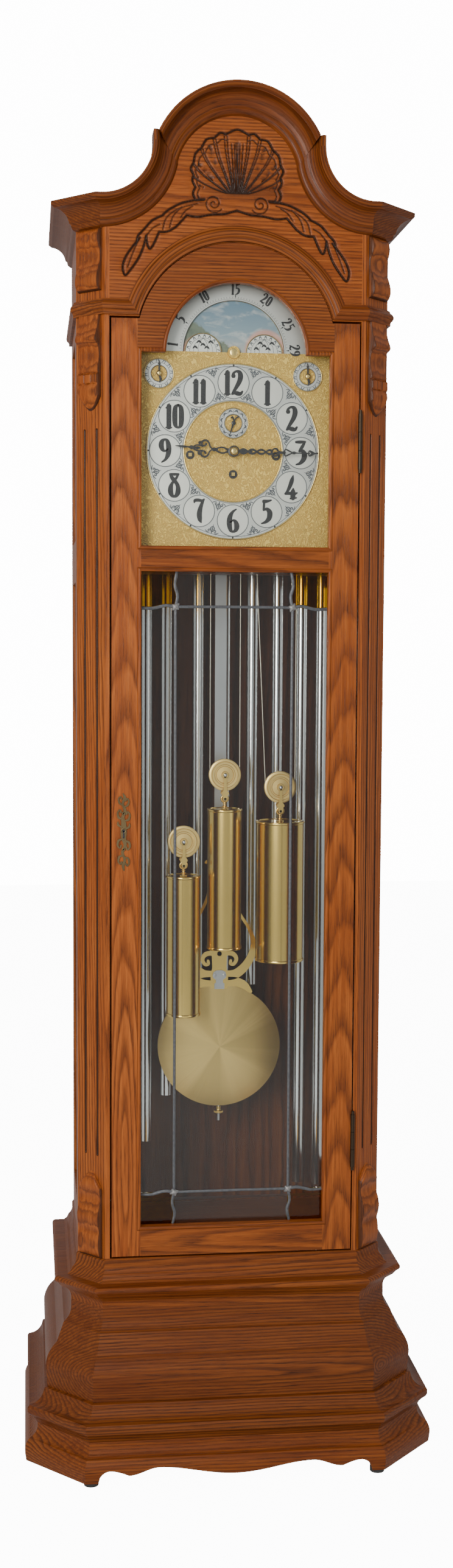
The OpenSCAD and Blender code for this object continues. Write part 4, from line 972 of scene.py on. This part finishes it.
block(2067, [(0, 2.0), (4, 6.5), (14, 9.0), (25, 7.6), (34, 3.6), (42, 2.2), (52, 3.0), (62, 6.4), (74, 10.4),
             (86, 11.6), (95, 8.8), (99, 4.0), (99.5, 0.0)], 25)
block(1929, [(0, 4.5), (10, 5.6), (24, 9.0), (35, 13.2), (41, 13.6), (45, 9.5), (48, 6.4), (57, 3.4), (68, 2.8),
             (80, 5.6), (89, 7.2), (93, 5.2), (94.5, 6.6), (95, 8.6), (102, 8.9), (108.5, 8.6), (109.5, 6.0),
             (111, 7.2), (120, 9.0), (132, 8.2), (144, 5.0), (152, 1.6), (153, 0.0)], 23,
      low_edge=lambda s: 30.0 * abs(s) ** 1.7 if s > 0 else 22.0 * abs(s) ** 2,
      grooves=((94.5, 109, -0.36), (94.5, 109, 0.30)))
block(505, [(0, 0.0), (5, 2.4), (12, 6.2), (23, 8.0), (35, 5.6), (44, 3.6), (53, 4.6), (65, 8.6), (77, 11.0), (89, 9.8),
            (101, 6.8), (110, 8.4), (125, 9.2), (139, 7.4), (147, 4.0), (147.2, 0.0)], 25,
      high_edge=lambda s: 30.0 * abs(s) ** 1.6)
blocks.piece("carved_blocks", OAK_CARVED, "case", "oak", ("post_carvings",), carve=block_shades)

# ---- beads round the door's windows ----------------------------------------

# The bead's section, as (out from the window's edge, Y).
BEAD = ((-0.4, -117.0), (-0.4, -118.4), (0.4, -119.3), (1.8, -120.0), (3.2, -120.1), (4.6, -119.6), (5.6, -118.7),
        (6.2, -117.6))
upright, level, arched = Shape(), Shape(), Shape()


def frame_bead(outline, lengths):
    """Sweeps BEAD round a closed outline, mitred at its corners; lengths are (shape, first, last corner)."""
    p = np.array(outline, float)
    ahead = unit(np.roll(p, -1, 0) - p)
    n1, n2 = (np.stack([q[:, 1], -q[:, 0]], 1) for q in (np.roll(ahead, 1, 0), ahead))
    mitre = (n1 + n2) / (1 + (n1 * n2).sum(1))[:, None]
    rings = [[(x + mx * u, y, z + mz * u) for u, y in BEAD] for (x, z), (mx, mz) in zip(p, mitre)]
    for shape, first, last in lengths:
        shape.tube([rings[k % len(rings)] for k in range(first, last + 1)])


# Both windows' half width, the foot and head of each, and the arch over the upper one.
WINDOW_X, LOW_FOOT, LOW_HEAD, HIGH_FOOT, HIGH_HEAD = 156, 412, 1516, 1557, 1871
ARCH_Z, ARCH_R = 1869, 116
frame_bead([(-WINDOW_X, LOW_FOOT), (WINDOW_X, LOW_FOOT), (WINDOW_X, LOW_HEAD), (-WINDOW_X, LOW_HEAD)],
           ((level, 0, 1), (upright, 1, 2), (level, 2, 3), (upright, 3, 4)))
arch = arc_points(0, ARCH_Z, ARCH_R, 1, 179, 64)
after = len(arch) + 3
frame_bead([(-WINDOW_X, HIGH_FOOT), (WINDOW_X, HIGH_FOOT), (WINDOW_X, HIGH_HEAD), *arch, (-WINDOW_X, HIGH_HEAD)],
           ((level, 0, 1), (upright, 1, 2), (arched, 2, after), (upright, after, after + 1)))
upright.piece("upright_beads", OAK_STILE_R, "door", "oak")
level.piece("level_beads", OAK_RAIL, "door", "oak")
arched.piece("arched_bead", OAK_ARCH_BEAD, "door", "oak")

# ---- leaded glass and escutcheon -------------------------------------------

cames, knots = Shape(), Shape()


def came(points, radius=2.4):
    cames.wire([(x, GLASS_Y, z) for x, z in points], radius, 5)


for z in (CAME_LOW, CAME_HIGH):
    came([(-CAME_X, z), (0, z + 0.4), (CAME_X, z)])
for s in (-1, 1):
    came([(s * CAME_X, CAME_LOW), (s * (CAME_X - 0.4), 960), (s * CAME_X, CAME_HIGH)])
    for z, way, reach in ((CAME_LOW, -1, 54), (CAME_HIGH, 1, 58)):
        came([(s * (CAME_X - way * aside), z + way * up) for aside, up in ((0, 0), (3, 18), (-1, 36), (2, reach))], 2.9)
        came([(s * CAME_X, z), (s * 114, z + 2.2), (s * 136, z - 2.4), (s * 156, z - 2.0)], 2.9)
        for turn, length in ((38, 8.5), (142, 7.0), (221, 8.0), (318, 7.4), (85, 5.5), (268, 6.0)):
            a = math.radians(turn + 9 * s + 14 * way)
            knots.wire([(s * CAME_X + length * t * math.cos(a), GLASS_Y - 0.8, z + length * t * math.sin(a), r)
                        for t, r in ((0, 4.6), (0.45, 3.6), (0.8, 2.1), (1.0, 0.6))], 0, 4, 10)
cames.piece("lead_cames", LEAD, "door", "lead_came", ("came_lattice",))
knots.piece("solder_knots", SOLDER, "door", "lead_came")

plate, keyhole = Shape(), Shape()


def scroll(points, proud, lift=0.0):
    plate.stroke([(KEY_X + x, z, w) for x, z, w in points], DOOR_Y - proud, DOOR_Y - lift)


scroll([(-1, 1149, 1.0), (1.8, 1142, 2.4), (-1.6, 1132, 1.9), (2.2, 1121, 2.5), (-1.5, 1110, 2.6), (0, 1099, 4.0),
        (0, 1086, 5.0), (0, 1075, 4.0), (2.4, 1063, 2.5), (-2, 1051, 2.3), (1.8, 1039, 2.2), (-1, 1029, 2.5),
        (0.5, 1021, 1.0)], 1.4)
for flip, shift in ((1, 0), (-1, 3)):
    for line in ([(1, 1127, 0.8), (6.5, 1130, 1.7), (8.5, 1137, 1.3), (5.5, 1141, 1.1), (3.6, 1137.5, 1.5)],
                 [(1, 1104, 0.8), (8, 1106, 1.9), (10, 1114, 1.5), (6.6, 1119, 1.2), (4.6, 1115.5, 1.6)],
                 [(3, 1090, 1.0), (9, 1094, 1.8), (9.5, 1099, 0.9)],
                 [(1, 1071, 0.8), (8.4, 1068, 1.9), (10, 1060, 1.5), (6.4, 1055.5, 1.2), (4.4, 1059.5, 1.6)],
                 [(1, 1043, 0.8), (7.2, 1041, 1.8), (8.8, 1033, 1.4), (5.6, 1028.5, 1.1), (3.8, 1032, 1.5)]):
        scroll([(flip * x, z + shift, w) for x, z, w in line], 1.9, 0.6)
for z, r in ((1087, 3.6), (1116, 2.0), (1056, 2.0)):
    plate.turned(KEY_X, DOOR_Y, z, [(r * 0.5, -1.4), (r, -2.0), (r + 0.8, -1.6), (r + 1.2, 0.0)], steps=24)
# The keyhole is a black solid set in the plate's boss: painted shade for its dark opening.
keyhole.turned(KEY_X, DOOR_Y, 1087, [(2.3, -2.05), (2.3, -1.0)], steps=20)
keyhole.stroke([(KEY_X, 1086, 1.1), (KEY_X, 1076, 1.5)], DOOR_Y - 2.05, DOOR_Y - 1.0)
plate.piece("keyhole_plate", ANTIQUE, "door", "antique_brass", ("escutcheon",))
keyhole.piece("keyhole", BLACK, "door", "black_steel")

# ---- weights, their pulleys and hooks --------------------------------------

# Each weight's X, its pulley's height and its radius.
WEIGHTS = (("left", -WIND_X, 1052, 31), ("centre", 0, 1169, 31), ("right", 98, 1147, 43))
STRAP = ((2.0, 59), (2.4, 45), (2.9, 33), (6.2, 28.5), (6.6, 26), (4.2, 23.5), (4.0, 18), (2.8, 14.5))


def weight(tag, x, pulley_z, r):
    body = tag + "_weight"
    top = pulley_z - HANG
    shell, hook, pin, sheave = Shape(), Shape(), Shape(), Shape()
    shell.turned(x, WEIGHT_Y, top - WEIGHT_LEN, [(r - d, h) for d, h in (
        (6, 0), (1.4, 0), (0.4, 0.5), (0, 1.6), (0, 4.2), (0.5, 4.9), (1.1, 5.3), (1.1, 243.2), (0.5, 243.6),
        (0, 244.4), (0, 246.6), (0.4, 247.4), (1.4, 248), (5, 248), (5.6, 246.8))] + [(7, 246.6), (6, 248.6)], "z", 96)
    shell.piece(tag + "_weight_shell", BRASS_SATIN, body, "brass", (body,))
    hook.turned(x, WEIGHT_Y, top, [(6.4, -1.6), (6.4, 0.2), (3.2, 0.8), (2.4, 2.4), (4.4, 3.2), (4.6, 4.4), (2.4, 5.2),
                                   (2.0, 6.6), (3.4, 7.4), (3.4, 8.6), (1.9, 9.4), (1.8, 11.2)], "z", 28)
    hook.wire([(x + 5.8 * math.sin(a), WEIGHT_Y, top + 17.2 - 5.8 * math.cos(a))
               for a in np.linspace(0, 2 * math.pi, 20, endpoint=False)], 1.9, 2, 10, True)
    hook.turned(x, WEIGHT_Y, top + 17.2, [(2.2, -9.4), (2.2, 9.4)], steps=16)
    outline = [(x + w, top + h) for w, h in STRAP] + [(x - w, top + h) for w, h in STRAP[::-1]]
    for side in (-1, 1):
        y0, y1 = sorted((side * 8.7, side * 9.4))
        hook.plate(outline, WEIGHT_Y + y0, WEIGHT_Y + y1)
        y0, y1 = sorted((side * 8.6, side * 9.4))
        hook.turned(x, WEIGHT_Y, pulley_z, [(5.2, y0), (5.2, y1)], steps=28)
    hook.piece(tag + "_weight_hook", BRASS, body, "brass")
    pin.turned(x, WEIGHT_Y, pulley_z, [(1.2, -12.2), (2.6, -11.6), (3.6, -10.4), (3.9, -9.4), (1.6, -9.3), (1.6, 9.3),
                                       (3.9, 9.4), (3.6, 10.4), (2.2, 11.4)], steps=28)
    pin.piece(tag + "_pulley_pin", NICKEL, body, "nickel")
    sheave.turned(x, WEIGHT_Y, pulley_z, [
        (2.1, -5.0), (6.0, -5.0), (6.6, -4.1), (14.5, -3.5), (15.5, -4.7), (17.5, -4.7), (18.4, -3.9), (22.4, -4.0),
        (23.6, -5.0), (27.0, -5.0), (28.0, -4.4), (28.0, -3.2), (25.0, -1.2), (25.0, 1.2), (28.0, 3.2), (28.0, 4.4),
        (27.0, 5.0), (23.6, 5.0), (22.4, 4.0), (6.6, 4.0), (6.0, 5.0), (2.1, 5.0)], steps=72)
    sheave.piece(tag + "_sheave", BRASS_SPUN, tag + "_pulley", "brass", (tag + "_pulley",))


for row in WEIGHTS:
    weight(*row)

# ---- pendulum --------------------------------------------------------------

lyre, strings, clip, nut = Shape(), Shape(), Shape(), Shape()
SCREW_X, STRING_Y = 8.6, 93.5
for s in (1, -1):
    for line, lift in (
            ([(8, 800, 9), (30, 803, 8.5), (50, 821, 7.5), (61, 846, 6.0), (60, 868, 4.2), (52, 888, 2.8),
              (39, 908, 2.6), (27, 930, 2.6), (19, 955, 2.8), (18, 985, 3.0), (20, 1006, 3.2)], 0),
            ([(8, 789, 9), (30, 788, 8.5), (46, 781, 7), (57, 770, 3)], 0),
            ([(0, 840, 4.5), (19, 841, 4.4), (28, 836.5, 3.9), (30.5, 828.5, 3.4), (26, 821, 3.1), (20.5, 822, 3.2),
              (20.5, 827.5, 2.4)], 0.2),
            ([(0, 1008, 5.6), (18, 1008, 4.4), (25, 1006, 2.4)], 0)):
        lyre.stroke([(s * x, z, w) for x, z, w in line], LYRE_Y0 - lift, LYRE_Y1, per=7)
    clip.turned(s * SCREW_X, 90.2, 801.2, [(1.4, -1.4), (3.0, -1.0), (3.4, 0.4)], steps=18)
lyre.plate([(-15, 773), (15, 773), (16, 800), (13, 815), (14, 838), (-14, 838), (-13, 815), (-16, 800)],
           LYRE_Y0 - 0.1, LYRE_Y1)
lyre.piece("lyre_plate", BRASS_SATIN, "pendulum", "brass", ("pendulum_lyre",))
for k in range(-2, 3):
    strings.wire([(k * 7.8, STRING_Y, 838), (k * 7.2, STRING_Y, 920), (k * 6.8, STRING_Y, 1008)], 1.2, 3)
strings.piece("lyre_strings", BRASS, "pendulum", "brass")
half_clip = [(9, 776), (9, 786), (6.5, 787), (6.5, 793), (11, 796), (12.5, 801), (10.5, 807), (5, 810)]
clip.plate(half_clip + [(-x, z) for x, z in half_clip[::-1]], 90.2, 91.5)
clip.piece("bob_clip", STEEL, "pendulum", "nickel")
nut.turned(0, SWING_Y, BOB_Z - BOB_R - 14, [
    (2.7, 0), (6.6, 0), (7.8, 0.9), (8.0, 2.5), (7.8, 4.1), (6.4, 5.0), (4.4, 5.4), (3.7, 7.6), (4.3, 9.6), (4.3, 12.0),
    (2.7, 12.0)], "z", 40)
for k in range(24):
    x, y = polar(7.9, 90 - 15 * k, 0, SWING_Y)
    nut.wire([(x, y, BOB_Z - BOB_R - 13), (x, y, BOB_Z - BOB_R - 10)], 0.5, 1, 6)
nut.piece("knurled_nut", BRASS, "rating_nut", "brass", ("rating_nut",))

# ---- cables ----------------------------------------------------------------


def cable_line(tag, name, start, end, replaced=()):
    """A straight cable from start, on the case, to end, at the weight's pulley, both (x, z)."""
    a, b = ([x, WEIGHT_Y, z] for x, z in (start, end))
    line = Shape()
    line.wire(np.linspace(a, b, max(2, int(math.dist(a, b) / 20))), CABLE_R, 1)
    made = line.piece(name, WIRE, None, "wire", replaced)
    tag + "_weight"
    a[2] * MM
    (b[2] + 40) * MM
    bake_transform(made)


# Where each cable leaves its drum.
LEAVES = ((-WIND_X - LINE_R, WIND_Z), (LINE_R, WIND_LOW_Z), (WIND_X - LINE_R, WIND_Z))
for (tag, x, z, _), side, drum in zip(WEIGHTS, (-1, 1, -1), LEAVES):
    fall, rise = x + side * LINE_R, x - side * LINE_R
    cable_line(tag, tag + "_cable_fall", drum, (fall, z), (tag + "_cable",))
    cable_line(tag, tag + "_cable_rise", (rise, SEAT_Z), (rise, z))
    loop = Shape()
    loop.wire([(u, WEIGHT_Y, v) for u, v in arc_points(x, z, LINE_R, 180, 360, 24)], CABLE_R, 1)
    loop.piece(tag + "_cable_loop", WIRE, tag + "_weight", "wire")

# ---- floor, light and camera -----------------------------------------------


def seen(n):
    """1 for what the camera sees straight, 0 for the light the object gets."""
    return n.add("LightPath", out="Is Camera Ray")


paper = Material("studio_floor")
mottle = paper.noise(paper.coords(), 3, 3, 0.5)
paper = paper.principled(Base_Color=paper.ramp(mottle, [(0.3, 0.80), (0.7, 0.83)]), Roughness=0.9,
                         Emission_Color=(1, 1, 1), Emission_Strength=seen(paper) * 12.0)
bm = bmesh.new()
bmesh.ops.create_grid(bm, x_segments=8, y_segments=8, size=7)
floor_mesh = bpy.data.meshes.new("floor")
bm.to_mesh(floor_mesh)
bm.free()
floor_mesh.materials.append(paper)
floor = bpy.data.objects.new("floor", floor_mesh)
bpy.context.scene.collection.objects.link(floor)

world = bpy.data.worlds.new("studio")
world.use_nodes = True
sky = Nodes(world.node_tree)
background = sky.tree.nodes["Background"]
sky.plug(background.inputs["Color"], (1, 1, 1))
sky.plug(background.inputs["Strength"], seen(sky) * 14.0 + 0.56)
bpy.context.scene.world = world


def area_light(name, place, aim, size, power):
    data = bpy.data.lights.new(name, "AREA")
    data.shape = "RECTANGLE"
    data.size, data.size_y = size
    data.energy = power
    data.color = (1.0, 0.97, 0.93)
    lamp = bpy.data.objects.new(name, data)
    lamp.location = place
    lamp.rotation_euler = (Vector(aim) - Vector(place)).to_track_quat("-Z", "Y").to_euler()
    bpy.context.scene.collection.objects.link(lamp)


area_light("key", (-1.5, -2.9, 2.0), (0, 0, 1.35), (1.1, 1.8), 108)
area_light("fill", (2.3, -2.5, 1.7), (0, 0, 1.2), (1.2, 1.8), 14)

# The lens in pixels of the picture, by its long side; then how far it is turned, pitched and tilted.
LENS_PX, LONG_SIDE_PX, SENSOR = 2846, 2576, 36
YAW, PITCH, ROLL = (math.radians(a) for a in (-6.60, -4.66, -0.29))
camera_data = bpy.data.cameras.new("camera")
camera_data.sensor_width = SENSOR
camera_data.lens = LENS_PX / LONG_SIDE_PX * SENSOR
camera_data.clip_start = 0.05
camera = bpy.data.objects.new("camera", camera_data)
bpy.context.scene.collection.objects.link(camera)
right, forward, up = (Matrix.Rotation(YAW, 3, "Z") @ Matrix.Rotation(PITCH, 3, "X") @ Matrix.Rotation(ROLL, 3, "Y")).col
camera.matrix_world = (Matrix.Translation((-0.344, -2.978, 1.399))
                       @ Matrix((right, up, -forward)).transposed().to_4x4())
bpy.context.scene.camera = camera
